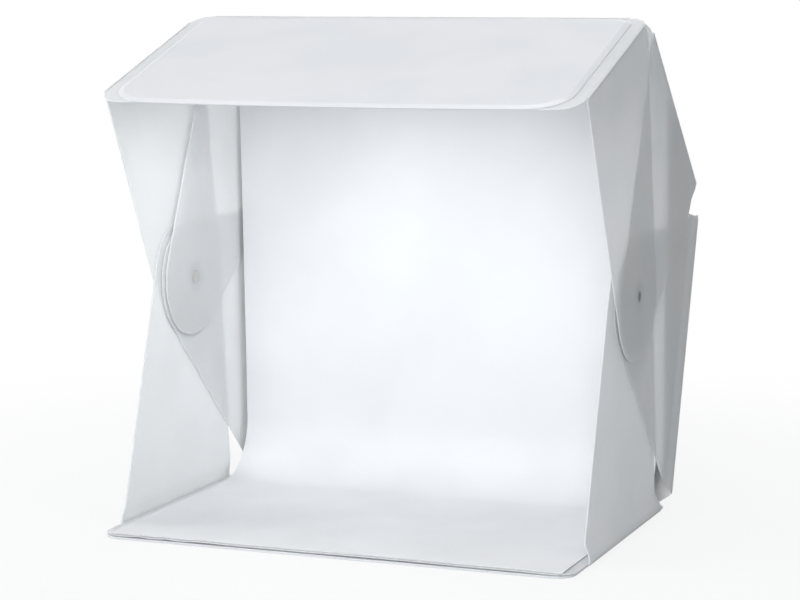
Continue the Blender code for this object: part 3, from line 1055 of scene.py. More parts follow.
    def shape_rims(self, bm: bmesh.types.BMesh, normal: Vector, inside: Vector | None) -> None:
        """Slopes the rims down to the cut edges and takes off their corners, but not along creases.

        Args:
            bm: the plate.
            normal: square to the plate.
            inside: a point inside the tent, for a bevelled board, or nothing.
        """
        rims = {}
        for outward in (normal, -normal):
            for face in self.broad_faces(bm, outward):
                for edge in face.edges:
                    for other in edge.link_faces:
                        if abs(other.normal.dot(normal)) > SIDE_COSINE:
                            continue
                        for vert in edge.verts:
                            away = rims.get(vert, (outward, Vector()))[1]
                            rims[vert] = (outward, away + other.normal)
        planes = {}
        moves = {}
        for vert, (flat, away) in rims.items():
            if inside is None:
                taper = self.rim_taper
            else:
                taper = self.board_taper if flat.dot(vert.co - inside) > 0 else 0.0
            moves[vert] = flat * taper + away.normalized() * self.edge_round
            planes[flat.dot(normal) > 0] = (vert.co - flat * (taper + self.edge_round), flat)
        for point, flat in planes.values():
            band = [f for f in bm.faces if abs(f.normal.dot(normal)) < SIDE_COSINE]
            parts = {part for f in band for part in (*f.edges, *f.verts)}
            bmesh.ops.bisect_plane(bm, geom=band + list(parts), dist=MERGE, plane_co=point, plane_no=flat)
        for vert, move in moves.items():
            vert.co -= move
        bm.normal_update()


# Living hinges


@dataclass
class CreaseWeb:
    """The thin web along a crease that joins two plates, shaped as they stand in the frame."""

    wardrobe: Wardrobe
    joint: dict
    near: bpy.types.Object
    far: bpy.types.Object
    radius: float = 1.24 * MM
    thickness: float = 0.22 * MM
    flange: float = 1.6 * MM
    straight_within: float = 0.15 * MM
    end_gap: float = 1.5 * MM
    bend_steps: int = 8

    def build(self, inside: Vector) -> bpy.types.Object:
        """Makes the web.

        Args:
            inside: a point inside the tent, which the web stays away from.

        Returns:
            The web, curved between the joint's two plates as they stand.
        """
        origin = Vector(self.joint["pos_m"])
        axis = Vector(self.joint["axis"]).normalized()
        first, last = self.span(origin, axis)
        near_in, near_out = self.directions(self.near, origin, axis, inside)
        far_in, far_out = self.directions(self.far, origin, axis, inside)
        turn = near_out.rotation_difference(far_out)
        path = []
        for reach in (self.radius, self.radius + self.thickness):
            row = [near_out * reach + near_in * self.flange]
            row += arc(Vector(), near_out * reach, turn.axis, turn.angle, self.bend_steps)
            row.append(far_out * reach + far_in * self.flange)
            path.append(row)
        section = path[0] + path[1][::-1]
        bm = bmesh.new()
        ends = []
        for along in (first + self.end_gap, last - self.end_gap):
            ends.append([bm.verts.new(origin + axis * along + p) for p in section])
        count = len(section)
        for i in range(count):
            j = (i + 1) % count
            bm.faces.new((ends[0][i], ends[0][j], ends[1][j], ends[1][i]))
        half = count // 2
        for ring in ends:
            for i in range(half - 1):
                bm.faces.new((ring[i], ring[i + 1], ring[count - 2 - i], ring[count - 1 - i]))
        bmesh.ops.recalc_face_normals(bm, faces=bm.faces)
        smooth_edges(bm)
        obj = new_object(self.joint["name"] + "_web", bm)
        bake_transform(obj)
        self.wardrobe.put_on(obj, Dress.PANEL)
        return obj

    def span(self, origin: Vector, axis: Vector) -> tuple[float, float]:
        """How far both plates run straight along the crease.

        Args:
            origin: a point on the crease.
            axis: the crease's direction.

        Returns:
            Where the straight run starts and ends, as distances from the origin.
        """
        ranges = []
        for plate in (self.near, self.far):
            places = [v.co - origin for v in plate.data.vertices]
            aways = [(place - place.dot(axis) * axis).length for place in places]
            limit = min(aways) + self.straight_within
            straight = [place.dot(axis) for place, away in zip(places, aways) if away < limit]
            ranges.append((min(straight), max(straight)))
        return max(r[0] for r in ranges), min(r[1] for r in ranges)

    def directions(
        self, plate: bpy.types.Object, origin: Vector, axis: Vector, inside: Vector
    ) -> tuple[Vector, Vector]:
        """Directions of a plate at the crease.

        Args:
            plate: the CAD plate.
            origin: a point on the crease.
            axis: the crease's direction.
            inside: a point inside the tent.

        Returns:
            Into the plate, and out of the tent square to it.
        """
        faces = plate.data.polygons
        outward = max(faces, key=lambda f: f.area).normal.copy()
        into = outward.cross(axis).normalized()
        middle = sum((f.center * f.area for f in faces), Vector()) / sum(f.area for f in faces)
        if into.dot(middle - origin) < 0:
            into = -into
        if outward.dot(inside - middle) > 0:
            outward = -outward
        return into, outward


# Sub-assemblies


class Side(Enum):
    """The tent's two sides, with their sign along X."""

    LEFT = -1
    RIGHT = 1

    @property
    def word(self) -> str:
        """The side's name in node names."""
        return self.name.lower()


@dataclass
class Shell:
    """The folding shell: four panels, their boards, eight flaps and the creases between them."""

    nodes: dict
    joints: list
    wardrobe: Wardrobe
    plates: PlateMaker
    panels: tuple[str, ...] = ("base", "lower_back", "rear_roof", "front_roof")
    inside: Vector = field(default_factory=lambda: Vector((0.0, 0.05, 0.30)))
    roof_sag: float = 2.9 * MM
    sag_from_ridge: float = 0.205
    roof_length: float = 0.321
    half_width: float = 0.320
    cut_pitch: float = 0.016
    sag_steps: int = 7
    ply_lift: float = 1.1 * MM
    lift_depth: float = 0.030
    lift_front: float = -0.2265
    lift_steps: int = 5
    short_waves: tuple[tuple[float, float], ...] = ((-0.262, 0.016), (-0.222, 0.014))
    short_wave_share: float = 0.9
    long_wave_start: tuple[float, float] = (-0.205, 0.030)
    long_wave_end: tuple[float, float] = (0.285, 0.040)
    long_wave_shares: tuple[float, float, float] = (0.62, 0.25, 0.10)
    long_wave_turns: tuple[float, float] = (23.0, 61.0)

    def build(self) -> None:
        """Makes every plate and every crease."""
        for panel in self.panels:
            self.build_panel(panel)
            for side in Side:
                self.build_flap(f"{side.word}_{panel}")
        for joint in self.joints:
            if joint["type"] == "hinge":
                self.build_web(joint)

    def build_panel(self, panel: str) -> None:
        """Makes a panel's folding sheet and its board.

        Args:
            panel: the panel, which is also its body.
        """
        cuts, shift = [], None
        if panel == "front_roof":
            cuts, shift = self.roof_cuts(), self.sagged
        elif panel == "base":
            cuts, shift = self.base_cuts(), self.lifted
        sheet, board = self.nodes[panel + "_sheet"], self.nodes[panel + "_board"]
        self.plates.build(
            sheet, panel, panel + "_folding_sheet", Dress.PANEL, Dress.CUT_EDGE, cuts=cuts, shift=shift
        )
        if panel == "base":
            cuts, shift = [], None
        self.plates.build(
            board,
            panel,
            panel + "_stiffener",
            Dress.BOARD,
            Dress.BOARD_EDGE,
            inside=None if panel == "base" else self.inside,
            cuts=cuts,
            shift=shift,
        )
        LOG.info("panel %s: sheet and board", panel)

    def build_flap(self, place: str) -> None:
        """Makes a flap and dresses the magnet in it.

        Args:
            place: its side and its panel, as in node names.
        """
        name, magnet = place + "_flap", place + "_magnet"
        joint = next(j for j in self.joints if j["child"] == name)
        lean = Lean(self.nodes[name], joint)
        self.plates.build(
            self.nodes[name], name, name + "_sheet", Dress.FLAP, Dress.CUT_EDGE, magnet=magnet, lean=lean
        )
        self.wardrobe.put_on(self.nodes[magnet], Dress.NICKEL)
        LOG.info("flap %s, %.1f mm inside its crease, with its sealed magnet", name, abs(lean.aside) / MM)

    def build_web(self, joint: dict) -> None:
        """Makes the web of one crease.

        Args:
            joint: the crease's joint in the frame.
        """
        parent, child = joint["parent"], joint["child"]
        near = self.nodes[parent + "_sheet"]
        far = self.nodes.get(child + "_sheet") or self.nodes[child]
        CreaseWeb(self.wardrobe, joint, near, far).build(self.inside)
        LOG.info("crease web %s", joint["name"])

    def roof_frame(self) -> Matrix:
        """The front roof's own axes at the ridge.

        Returns:
            Its matrix: X across, Y from the ridge to the front edge, Z into the tent.
        """
        ridge = next(j for j in self.joints if j["name"] == "ridge_crease")
        crease = next(j for j in self.joints if j["name"] == "right_front_roof_flap_crease")
        along = Vector(crease["axis"]).normalized()
        across = Vector((1, 0, 0))
        inward = across.cross(along)
        turn = Matrix((across, along, inward)).transposed().to_4x4()
        return Matrix.Translation(ridge["pos_m"]) @ turn

    def roof_cuts(self) -> list[tuple[Vector, Vector]]:
        """Divides the front roof so that its front edge can sag.

        Returns:
            The dividing planes, as a point and a normal each.
        """
        frame = self.roof_frame()
        across, along = frame.col[0].xyz, frame.col[1].xyz
        count = int(2 * self.half_width / self.cut_pitch)
        cuts = [(Vector((self.cut_pitch * (i - count // 2), 0, 0)), across) for i in range(count + 1)]
        run = self.roof_length - self.sag_from_ridge
        for i in range(self.sag_steps):
            point = frame @ Vector((0, self.sag_from_ridge + run * i / self.sag_steps, 0))
            cuts.append((point, along))
        return cuts

    def sagged(self, co: Vector) -> Vector:
        """How far the front roof hangs down between its stiff side edges.

        Args:
            co: a point of the straight roof.

        Returns:
            How the point moves.
        """
        local = self.roof_frame().inverted() @ co
        run = (local.y - self.sag_from_ridge) / (self.roof_length - self.sag_from_ridge)
        crown = max(0.0, 1 - (local.x / self.half_width) ** 2)
        return self.roof_frame().col[2].xyz * (self.roof_sag * crown * eased(run))

    def base_cuts(self) -> list[tuple[Vector, Vector]]:
        """Divides the base's sheet so that its front edge can lift off the board.

        Returns:
            The dividing planes, as a point and a normal each.
        """
        cuts = []
        count = int(2 * self.half_width / self.cut_pitch) * 2
        for i in range(count + 1):
            cuts.append((Vector((self.cut_pitch * (i - count // 2) / 2, 0, 0)), Vector((1, 0, 0))))
        for i in range(1, self.lift_steps + 1):
            y = self.lift_front + self.lift_depth * i / self.lift_steps
            cuts.append((Vector((0, y, 0)), Vector((0, 1, 0))))
        return cuts

    def lifted(self, co: Vector) -> Vector:
        """How far a point of the base's sheet stands off its board, near the front edge."""
        back = 1 - (co.y - self.lift_front) / self.lift_depth
        return Vector((0, 0, self.ply_lift * eased(back) * self.lift_share(co.x)))

    def lift_share(self, x: float) -> float:
        """How much of the lift there is along the front edge: two short waves and a long one.

        Args:
            x: a place along the edge.

        Returns:
            A share of the lift, about one at its most.
        """
        rises = [eased(1 - abs(x - middle) / half) for middle, half in self.short_waves]
        (start, rise), (end, fall) = self.long_wave_start, self.long_wave_end
        held = eased((x - start) / rise) * eased((end - x) / fall)
        level, wide, narrow = self.long_wave_shares
        wide_turn, narrow_turn = self.long_wave_turns
        wave = level + wide * math.sin(x * wide_turn) + narrow * math.sin(x * narrow_turn)
        return self.short_wave_share * sum(rises) + held * wave


@dataclass
class Backdrop:
    """The swept sheet inside, and the strips that hold its upper edge."""

    nodes: dict
    wardrobe: Wardrobe
    shell: Shell
    width: float = 0.608
    thickness: float = 1.2 * MM
    corners: tuple[tuple[float, float], ...] = (
        (-0.2215, 0.0066),
        (0.2095, 0.0066),
        (0.18867, 0.56134),
        (0.16349, 0.58418),
    )
    radii: tuple[float, ...] = (0.080, 0.012)
    arc_step: float = math.radians(3)
    straight_step: float = 0.020
    columns: int = 38
    ripple: float = 0.5 * MM
    ripple_start: tuple[float, float] = (0.06, 0.12)
    ripple_end: tuple[float, float] = (0.53, 0.10)
    ripple_turns: tuple[tuple[float, float], ...] = ((9.0, 4.0), (21.0, -7.0))
    ripple_shares: tuple[float, ...] = (1.0, 0.5)

    def build(self) -> bpy.types.Object:
        """Makes the sheet and dresses the strips.

        Returns:
            The sheet.
        """
        path = self.path()
        bm = bmesh.new()
        rows = []
        for side in (0.5, -0.5):
            sheet = []
            for i, point in enumerate(path):
                normal = self.normal(path, i)
                row = []
                for k in range(self.columns + 1):
                    x = self.width * (k / self.columns - 0.5)
                    aside = self.thickness * side + self.wave(x, point[1])
                    place = Vector((x, point[0], point[1])) + normal * aside
                    place += self.shell.lifted(place)
                    row.append(bm.verts.new(place))
                sheet.append(row)
            rows.append(sheet)
        self.skin(bm, rows)
        bmesh.ops.recalc_face_normals(bm, faces=bm.faces)
        smooth_edges(bm)
        obj = new_object("swept_backdrop", bm)
        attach(obj, "backdrop")
        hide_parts("backdrop")
        self.wardrobe.put_on(obj, Dress.BACKDROP)
        for strip in ("loop_strip", "hook_strip"):
            self.wardrobe.put_on(self.nodes[strip], Dress.STRIP)
        return obj

    def skin(self, bm: bmesh.types.BMesh, rows: list) -> None:
        """Joins the rows of both faces and closes the sheet's edges.

        Args:
            bm: the mesh that gets the faces.
            rows: the corners of the upper and the lower face, row by row.
        """
        count, columns = len(rows[0]), self.columns
        for sheet in rows:
            for i in range(count - 1):
                for k in range(columns):
                    bm.faces.new((sheet[i][k], sheet[i][k + 1], sheet[i + 1][k + 1], sheet[i + 1][k]))
        upper, lower = rows
        for i in range(count - 1):
            for k in (0, columns):
                bm.faces.new((upper[i][k], upper[i + 1][k], lower[i + 1][k], lower[i][k]))
        for k in range(columns):
            for i in (0, count - 1):
                bm.faces.new((upper[i][k], upper[i][k + 1], lower[i][k + 1], lower[i][k]))

    def path(self) -> list[tuple[float, float]]:
        """The sheet's middle line, from its front edge to its tab.

        Returns:
            Its points as (y, z).
        """
        points = [self.corners[0]]
        for i in range(1, len(self.corners) - 1):
            last, here, after = (Vector(corner) for corner in self.corners[i - 1 : i + 2])
            points += self.bend(last, here, after, self.radii[i - 1])
        points.append(self.corners[-1])
        filled = [points[0]]
        for start, end in zip(points, points[1:]):
            steps = max(1, round(math.dist(start, end) / self.straight_step))
            for k in range(1, steps + 1):
                share = k / steps
                filled.append(tuple(a + (b - a) * share for a, b in zip(start, end)))
        return filled

    def bend(self, last: Vector, here: Vector, after: Vector, radius: float) -> list[tuple[float, float]]:
        """The arc that rounds one corner of the middle line.

        Args:
            last: the corner before it.
            here: the corner.
            after: the corner after it.
            radius: the arc's radius.

        Returns:
            The arc's points.
        """
        to_last, to_next = (last - here).normalized(), (after - here).normalized()
        half = to_last.angle(to_next) / 2
        centre = here + (to_last + to_next).normalized() * (radius / math.sin(half))
        first = here + to_last * (radius / math.tan(half)) - centre
        turn = math.pi - 2 * half
        if to_last.x * to_next.y - to_last.y * to_next.x > 0:
            turn = -turn
        steps = math.ceil(abs(turn) / self.arc_step)
        return [tuple(centre + Matrix.Rotation(turn * k / steps, 2) @ first) for k in range(steps + 1)]

    def normal(self, path: list[tuple[float, float]], index: int) -> Vector:
        """Square to the middle line, towards the tent's middle.

        Args:
            path: the middle line.
            index: which of its points.

        Returns:
            The direction, one long.
        """
        before, after = path[max(0, index - 1)], path[min(len(path) - 1, index + 1)]
        along = Vector((0, after[0] - before[0], after[1] - before[1])).normalized()
        return Vector((1, 0, 0)).cross(along)

    def wave(self, x: float, z: float) -> float:
        """A slight ripple of the upright part, which dies out at both its ends.

        Args:
            x: a place across the sheet.
            z: its height.

        Returns:
            How far the sheet stands out there.
        """
        (start, rise), (end, fall) = self.ripple_start, self.ripple_end
        held = eased((z - start) / rise) * eased((end - z) / fall)
        waves = [math.sin(x * across + z * up) for across, up in self.ripple_turns]
        return self.ripple * held * sum(share * wave for share, wave in zip(self.ripple_shares, waves))


@dataclass
class LedBar:
    """One LED bar: channel, pad, caps and the LED board with its parts."""

    nodes: dict
    wardrobe: Wardrobe
    word: str
    frame: Matrix
    from_ridge: float
    length: float = 0.520
    board_width: float = 14.6 * MM
    board_top: float = 4.5 * MM
    board_thickness: float = 1.2 * MM
    board_edge: float = 0.15 * MM
    channel_edge: float = 0.2 * MM
    led_size: float = 5.0 * MM
    led_height: float = 1.4 * MM
    led_pitch: float = 20.0 * MM
    led_edge: float = 0.35 * MM
    leg: float = 0.5 * MM
    leg_out: float = 0.2 * MM
    dome_radius: float = 2.0 * MM
    dome_shoulder_share: float = 0.9
    dome_shoulder: float = 0.10 * MM
    dome_height: float = 0.16 * MM
    dome_sides: int = 20
    pad_size: tuple[float, float, float] = (2.2 * MM, 1.6 * MM, 0.12 * MM)
    pad_place: tuple[float, float] = (1.7 * MM, 3.4 * MM)
    parts_every: int = 3
    resistor_size: tuple[float, float, float] = (3.2 * MM, 1.6 * MM, 0.6 * MM)
    resistor_edge: float = 0.1 * MM

    def build(self) -> None:
        """Makes the LED board, its LEDs, resistors and solder pads, and dresses the CAD pieces."""
        name = f"{self.word}_led_bar_"
        board = self.build_board(name)
        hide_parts(name + "strip")
        self.build_leds(name)
        self.build_small_parts(name)
        dresses = {
            "channel": Dress.ALUMINIUM,
            "pad": Dress.FOAM,
            "left_cap": Dress.CAP,
            "right_cap": Dress.CAP,
        }
        for part, dress in dresses.items():
            node = self.nodes[name + part]
            self.wardrobe.put_on(node, dress)
            if part == "channel":
                edges = node.modifiers.new("softened_edges", "BEVEL")
                edges.width, edges.segments = self.channel_edge, 2
        LOG.info("LED bar %s", self.word)

    def place(self, x: float, y: float, depth: float) -> Matrix:
        """A place under the roof, x and y from the bar's middle, depth down from the roof's creases."""
        return self.frame @ Matrix.Translation((x, self.from_ridge + y, depth))

    def led_places(self) -> list[float]:
        """The LEDs' places along the bar."""
        count = int((self.length - self.led_size) / self.led_pitch) + 1
        return [self.led_pitch * (i - (count - 1) / 2) for i in range(count)]

    def build_board(self, name: str) -> bpy.types.Object:
        """The board's white laminate.

        Args:
            name: the start of the piece's name.

        Returns:
            The laminate.
        """
        bm = bmesh.new()
        size = (self.length, self.board_width, self.board_thickness)
        add_box(bm, size, self.place(0, 0, self.board_top + self.board_thickness / 2), self.board_edge)
        return self.finish(bm, name + "laminate", Dress.MASK)

    def build_leds(self, name: str) -> None:
        """The row of LEDs: square packages on two legs, with a low dome of phosphor on each.

        Args:
            name: the start of the pieces' names.
        """
        packages, domes = bmesh.new(), bmesh.new()
        face = self.board_top + self.board_thickness
        half, top = self.led_size / 2, self.led_height
        outline = [
            (0, top),
            (self.dome_radius, top),
            (self.dome_radius * self.dome_shoulder_share, top + self.dome_shoulder),
            (0, top + self.dome_height),
        ]
        for x in self.led_places():
            foot = self.place(x, 0, face)
            middle = foot @ Matrix.Translation((0, 0, top / 2))
            add_box(packages, (self.led_size, self.led_size, top), middle, self.led_edge)
            add_turned(domes, outline, self.dome_sides, foot)
            for side in (-1, 1):
                beside = Matrix.Translation((side * (half + self.leg_out), 0, self.leg / 2))
                add_box(packages, (self.leg, half, self.leg), foot @ beside)
        for bm, part, dress in ((packages, "packages", Dress.PACKAGE), (domes, "phosphor", Dress.PHOSPHOR)):
            bmesh.ops.recalc_face_normals(bm, faces=bm.faces)
            self.finish(bm, name + part, dress)

    def build_small_parts(self, name: str) -> None:
        """A resistor after every third LED and the solder pads where the board may be cut.

        Args:
            name: the start of the pieces' names.
        """
        resistors, pads = bmesh.new(), bmesh.new()
        face = self.board_top + self.board_thickness
        resistor_middle, pad_middle = face + self.resistor_size[2] / 2, face + self.pad_size[2] / 2
        aside, along = self.pad_place
        for i, x in enumerate(self.led_places()[:-1]):
            middle = x + self.led_pitch / 2
            if i % self.parts_every == 1:
                place = self.place(middle, 0, resistor_middle)
                add_box(resistors, self.resistor_size, place, self.resistor_edge)
            if i % self.parts_every == 2:
                for y in (-along, along):
                    for side in (-aside, aside):
                        add_box(pads, self.pad_size, self.place(middle + side, y, pad_middle))
        self.finish(resistors, name + "resistors", Dress.RESISTOR)
        self.finish(pads, name + "solder_pads", Dress.SOLDER)

    def finish(self, bm: bmesh.types.BMesh, name: str, dress: Dress) -> bpy.types.Object:
        """Links, rides and dresses one piece of the bar.

        Args:
            bm: its finished mesh.
            name: its name.
            dress: its finish.

        Returns:
            The piece.
        """
        smooth_edges(bm)
        obj = new_object(name, bm)
        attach(obj, "front_roof")
        self.wardrobe.put_on(obj, dress)
        return obj


@dataclass
class Wiring:
    """The lead between the bars with its clip and its strain reliefs, and the power inlet."""

    nodes: dict
    wardrobe: Wardrobe
    frame: Matrix
    lead_radius: float = 1.6 * MM
    lead_depth: float = 7.3 * MM
    lead_bow_x: float = -0.2778
    cap_face: float = 0.2627
    bars: tuple[float, ...] = (BAR_FROM_RIDGE["front"], BAR_FROM_RIDGE["rear"])
    roof_inner: float = 1.2 * MM
    relief_length: float = 7.0 * MM
    relief_radius: float = 3.0 * MM
    relief_ribs: int = 4
    relief_taper_share: float = 0.8
    rib_share: float = 0.6
    groove_share: float = 0.7
    groove_radius_share: float = 0.85
    relief_mouth_share: float = 1.05
    relief_sides: int = 20
    clip_foot: tuple[float, float, float] = (11 * MM, 9 * MM, 0.9 * MM)
    clip_foot_gap: float = 0.1 * MM
    clip_stem: tuple[float, float] = (3.4 * MM, 6 * MM)
    clip_stem_overlap: float = 0.4 * MM
    clip_edge: float = 0.3 * MM
    ring_play: float = 0.1 * MM
    ring_outer_play: float = 0.9 * MM
    ring_half_length: float = 3.0 * MM
    ring_sides: int = 24
    collar_gap: float = 0.05 * MM
    collar_outline: tuple[tuple[float, float], ...] = (
        (0.0, 0.0),
        (5.2 * MM, 0.0),
        (5.2 * MM, 1.2 * MM),
        (4.8 * MM, 1.7 * MM),
        (4.2 * MM, 1.9 * MM),
        (0.0, 1.9 * MM),
    )
    collar_sides: int = 28

    def build(self) -> None:
        """Dresses the lead and the inlet and adds what holds them."""
        self.wardrobe.put_on(self.nodes["led_link_lead"], Dress.LEAD)
        self.wardrobe.put_on(self.nodes["power_inlet"], Dress.INLET)
        self.wardrobe.put_on(self.nodes["power_inlet_pin"], Dress.NICKEL)
        self.build_reliefs()
        self.build_clip()
        self.build_collar()
        LOG.info("link lead, its clip and reliefs, and the power inlet")

    def build_reliefs(self) -> None:
        """A ribbed taper where the lead enters each bar's cap."""
        bm = bmesh.new()
        ribs = self.relief_ribs
        pitch = self.relief_length / ribs
        narrower = (self.relief_radius - self.lead_radius) * self.relief_taper_share / ribs
        outline = [(0.0, 0.0)]
        for i in range(ribs):
            foot, radius = pitch * i, self.relief_radius - narrower * i
            outline += [(radius, foot), (radius, foot + pitch * self.rib_share)]
            outline += [(radius * self.groove_radius_share, foot + pitch * self.groove_share)]
        mouth = self.lead_radius * self.relief_mouth_share
        outline += [(mouth, self.relief_length), (0.0, self.relief_length)]
        for along in self.bars:
            place = self.frame @ Matrix.Translation((-self.cap_face, along, self.lead_depth))
            add_turned(bm, outline, self.relief_sides, place @ Matrix.Rotation(-math.pi / 2, 4, "Y"))
        self.finish(bm, "lead_strain_reliefs", Dress.LEAD)

    def build_clip(self) -> None:
        """The stuck-on clip that holds the lead's middle under the roof."""
        bm = bmesh.new()
        foot = self.clip_foot[2]
        depth = self.roof_inner + self.clip_foot_gap + foot / 2
        add_box(bm, self.clip_foot, self.on_bow(depth), self.clip_edge)
        post = self.lead_depth - self.lead_radius - self.roof_inner - foot
        stem = (*self.clip_stem, post + self.clip_stem_overlap)
        add_box(bm, stem, self.on_bow(self.roof_inner + foot + post / 2), self.clip_edge)
        self.finish(bm, "lead_clip_foot", Dress.CAP)
        self.build_ring()

    def on_bow(self, depth: float) -> Matrix:
        """The place at the middle of the lead's bow, at a depth under the roof."""
        return self.frame @ Matrix.Translation((self.lead_bow_x, sum(self.bars) / 2, depth))

    def build_ring(self) -> None:
        """The clip's ring round the lead."""
        bm = bmesh.new()
        inner, outer = self.lead_radius + self.ring_play, self.lead_radius + self.ring_outer_play
        half = self.ring_half_length
        outline = [(inner, -half), (outer, -half), (outer, half), (inner, half)]
        place = self.on_bow(self.lead_depth) @ Matrix.Rotation(-math.pi / 2, 4, "X")
        loops = []
        for i in range(self.ring_sides):
            angle = 2 * math.pi * i / self.ring_sides
            corners = [Vector((r * math.cos(angle), r * math.sin(angle), h)) for r, h in outline]
            loops.append([bm.verts.new(place @ corner) for corner in corners])
        for here, after in zip(loops, loops[1:] + loops[:1]):
            for k in range(len(outline)):
                m = (k + 1) % len(outline)
                bm.faces.new((here[k], here[m], after[m], after[k]))
        self.finish(bm, "lead_clip_ring", Dress.CAP)

    def build_collar(self) -> None:
        """The round collar at the foot of the power inlet."""
        bm = bmesh.new()
        foot = (self.cap_face + self.collar_gap, BAR_FROM_RIDGE["rear"], self.lead_depth)
        place = self.frame @ Matrix.Translation(foot) @ Matrix.Rotation(math.pi / 2, 4, "Y")
        add_turned(bm, self.collar_outline, self.collar_sides, place)
        self.finish(bm, "power_inlet_collar", Dress.INLET)

    def finish(self, bm: bmesh.types.BMesh, name: str, dress: Dress) -> None:
        """Links, rides and dresses one small piece.

        Args:
            bm: its finished mesh.
            name: its name.
            dress: its finish.
        """
        bmesh.ops.recalc_face_normals(bm, faces=bm.faces)
        smooth_edges(bm)
        obj = new_object(name, bm)
        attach(obj, "front_roof")
        self.wardrobe.put_on(obj, dress)


# Studio


@dataclass(frozen=True)
class Softbox:
    """A soft area lamp that looks at a point."""

    name: str
    place: tuple[float, float, float]
    target: tuple[float, float, float]
    size: tuple[float, float]
    power: float
    colour: str

    def build(self) -> None:
        """Adds the lamp."""
        lamp = bpy.data.lights.new(self.name, "AREA")
        lamp.shape = "RECTANGLE"
        lamp.size, lamp.size_y = self.size
        lamp.energy = self.power
        lamp.color = linear(self.colour)[:3]
        obj = bpy.data.objects.new(self.name, lamp)
        obj.location = self.place
        away = Vector(self.place) - Vector(self.target)
        obj.rotation_euler = away.to_track_quat("Z", "Y").to_euler()
        bpy.context.scene.collection.objects.link(obj)


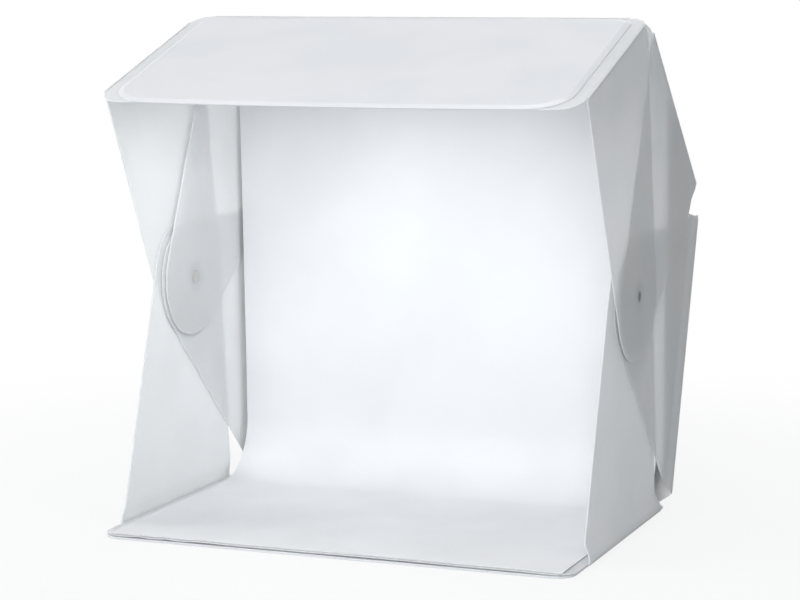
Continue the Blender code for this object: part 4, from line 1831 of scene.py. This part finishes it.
@dataclass
class Studio:
    """Camera, lamps, world and floor."""

    camera_place: tuple[float, float, float] = (1.142, -2.9385, 0.708)
    yaw: float = math.radians(21.05)
    pitch: float = math.radians(-7.46)
    roll: float = math.radians(-0.04)
    lens_mm: float = 109.3
    sensor_mm: float = 36.0
    fill_colour: str = "#FAFBFD"
    fill_level: float = 0.20
    floor_size: float = 30.0
    floor_colour: str = "#D9DBDD"
    floor_roughness: float = 0.9
    floor_gloss: float = 0.2
    white_share: float = 0.84
    shadow_reach: tuple[float, float] = (0.5, 1.5)
    softboxes: tuple[Softbox, ...] = (
        Softbox("rear_softbox", (-0.2, 3.6, 1.1), (0.0, 0.0, 0.3), (1.8, 1.6), 38.0, "#FDFEFF"),
        Softbox("front_softbox", (0.3, -3.9, 1.6), (0.0, 0.0, 0.3), (3.0, 2.8), 113.0, "#FDFEFF"),
        Softbox("top_softbox", (0.3, 0.0, 3.4), (0.0, 0.0, 0.4), (1.8, 1.8), 40.0, "#FDFEFF"),
        Softbox("left_softbox", (-3.0, 0.4, 0.8), (0.0, 0.2, 0.35), (2.0, 1.6), 55.0, "#FDFEFF"),
        Softbox("roof_softbox", (0.0, -0.09, 0.56), (0.0, -0.02, 0.0), (0.36, 0.20), 0.97, "#FDFEFF"),
    )

    def build(self) -> None:
        """Sets up the studio."""
        self.build_camera()
        for softbox in self.softboxes:
            softbox.build()
        self.build_world()
        self.build_floor()
        bpy.context.scene.view_settings.view_transform = "Standard"
        LOG.info("studio with %d softboxes", len(self.softboxes))

    def build_camera(self) -> None:
        """The camera at the photograph's place."""
        data = bpy.data.cameras.new("camera")
        data.lens = self.lens_mm
        data.sensor_width = self.sensor_mm
        camera = bpy.data.objects.new("camera", data)
        level = math.cos(self.pitch)
        forward = Vector((-math.sin(self.yaw) * level, math.cos(self.yaw) * level, math.sin(self.pitch)))
        turn = forward.to_track_quat("-Z", "Y").to_matrix().to_4x4()
        tilt = Matrix.Rotation(self.roll, 4, "Z")
        camera.matrix_world = Matrix.Translation(self.camera_place) @ turn @ tilt
        bpy.context.scene.collection.objects.link(camera)
        bpy.context.scene.camera = camera

    def seen_share(self, tree: bpy.types.NodeTree) -> bpy.types.NodeSocket:
        """Adds the test for rays that show the white background.

        Light that spreads through a translucent sheet counts as both transmission and diffuse, so
        diffuse rays are taken off again: they get the plain fill light and the floor's own colour.

        Args:
            tree: the node tree of the world or of the floor.

        Returns:
            One for rays from the camera, a mirror or clear glass, and zero for light that spreads.
        """
        path = add_node(tree, "ShaderNodeLightPath")
        seen = path.outputs["Is Camera Ray"]
        for kind in ("Is Glossy Ray", "Is Transmission Ray"):
            either = {0: seen, 1: path.outputs[kind]}
            seen = add_node(tree, "ShaderNodeMath", either, operation="MAXIMUM").outputs["Value"]
        spread = {0: seen, 1: path.outputs["Is Diffuse Ray"]}
        difference = add_node(tree, "ShaderNodeMath", spread, operation="SUBTRACT", use_clamp=True)
        return difference.outputs["Value"]

    def build_world(self) -> None:
        """A white background for the camera over a softer fill light."""
        world = bpy.data.worlds.new("studio_world")
        bpy.context.scene.world = world
        world.use_nodes = True
        tree = world.node_tree
        tree.nodes.clear()
        soft = {"Color": linear(self.fill_colour), "Strength": self.fill_level}
        fill = add_node(tree, "ShaderNodeBackground", soft)
        white = add_node(tree, "ShaderNodeBackground", {"Color": linear("#FFFFFF"), "Strength": 1.0})
        both = {0: self.seen_share(tree), 1: fill.outputs[0], 2: white.outputs[0]}
        shown = add_node(tree, "ShaderNodeMixShader", both)
        add_node(tree, "ShaderNodeOutputWorld", {"Surface": shown.outputs[0]})

    def build_floor(self) -> None:
        """A pale floor that keeps the tent's faint shadow and turns white farther away."""
        bm = bmesh.new()
        bmesh.ops.create_grid(bm, x_segments=1, y_segments=1, size=self.floor_size / 2)
        floor = new_object("studio_floor", bm)
        material = bpy.data.materials.new("pale_studio_paper")
        material.use_nodes = True
        tree = material.node_tree
        tree.nodes.clear()
        dull = {
            "Base Color": linear(self.floor_colour),
            "Roughness": self.floor_roughness,
            "Specular IOR Level": self.floor_gloss,
        }
        paper = add_node(tree, "ShaderNodeBsdfPrincipled", dull)
        white = add_node(tree, "ShaderNodeEmission", {"Color": linear("#FFFFFF"), "Strength": 1.0})
        where = add_node(tree, "ShaderNodeTexCoord").outputs["Object"]
        far = add_node(tree, "ShaderNodeVectorMath", {0: where}, operation="LENGTH")
        near, out = self.shadow_reach
        share = add_node(
            tree,
            "ShaderNodeMapRange",
            {
                "Value": far.outputs["Value"],
                "From Min": near,
                "From Max": out,
                "To Min": self.white_share,
                "To Max": 1.0,
            },
            interpolation_type="SMOOTHSTEP",
        )
        seen = {0: self.seen_share(tree), 1: share.outputs["Result"]}
        whole = add_node(tree, "ShaderNodeMath", seen, operation="MULTIPLY")
        both = {0: whole.outputs["Value"], 1: paper.outputs["BSDF"], 2: white.outputs["Emission"]}
        shown = add_node(tree, "ShaderNodeMixShader", both)
        add_node(tree, "ShaderNodeOutputMaterial", {"Surface": shown.outputs["Shader"]})
        floor.data.materials.append(material)


def main() -> None:
    """Builds the tent and its studio in order."""
    logging.basicConfig(level=logging.INFO, format="%(name)s: %(message)s")
    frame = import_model()
    nodes, joints = frame["nodes"], frame["joints"]
    Studio().build()
    wardrobe = Wardrobe()
    shell = Shell(nodes, joints, wardrobe, PlateMaker(wardrobe))
    shell.build()
    Backdrop(nodes, wardrobe, shell).build()
    roof = shell.roof_frame()
    for word, from_ridge in BAR_FROM_RIDGE.items():
        LedBar(nodes, wardrobe, word, roof, from_ridge).build()
    Wiring(nodes, wardrobe, roof).build()


if __name__ == "__main__":
    main()
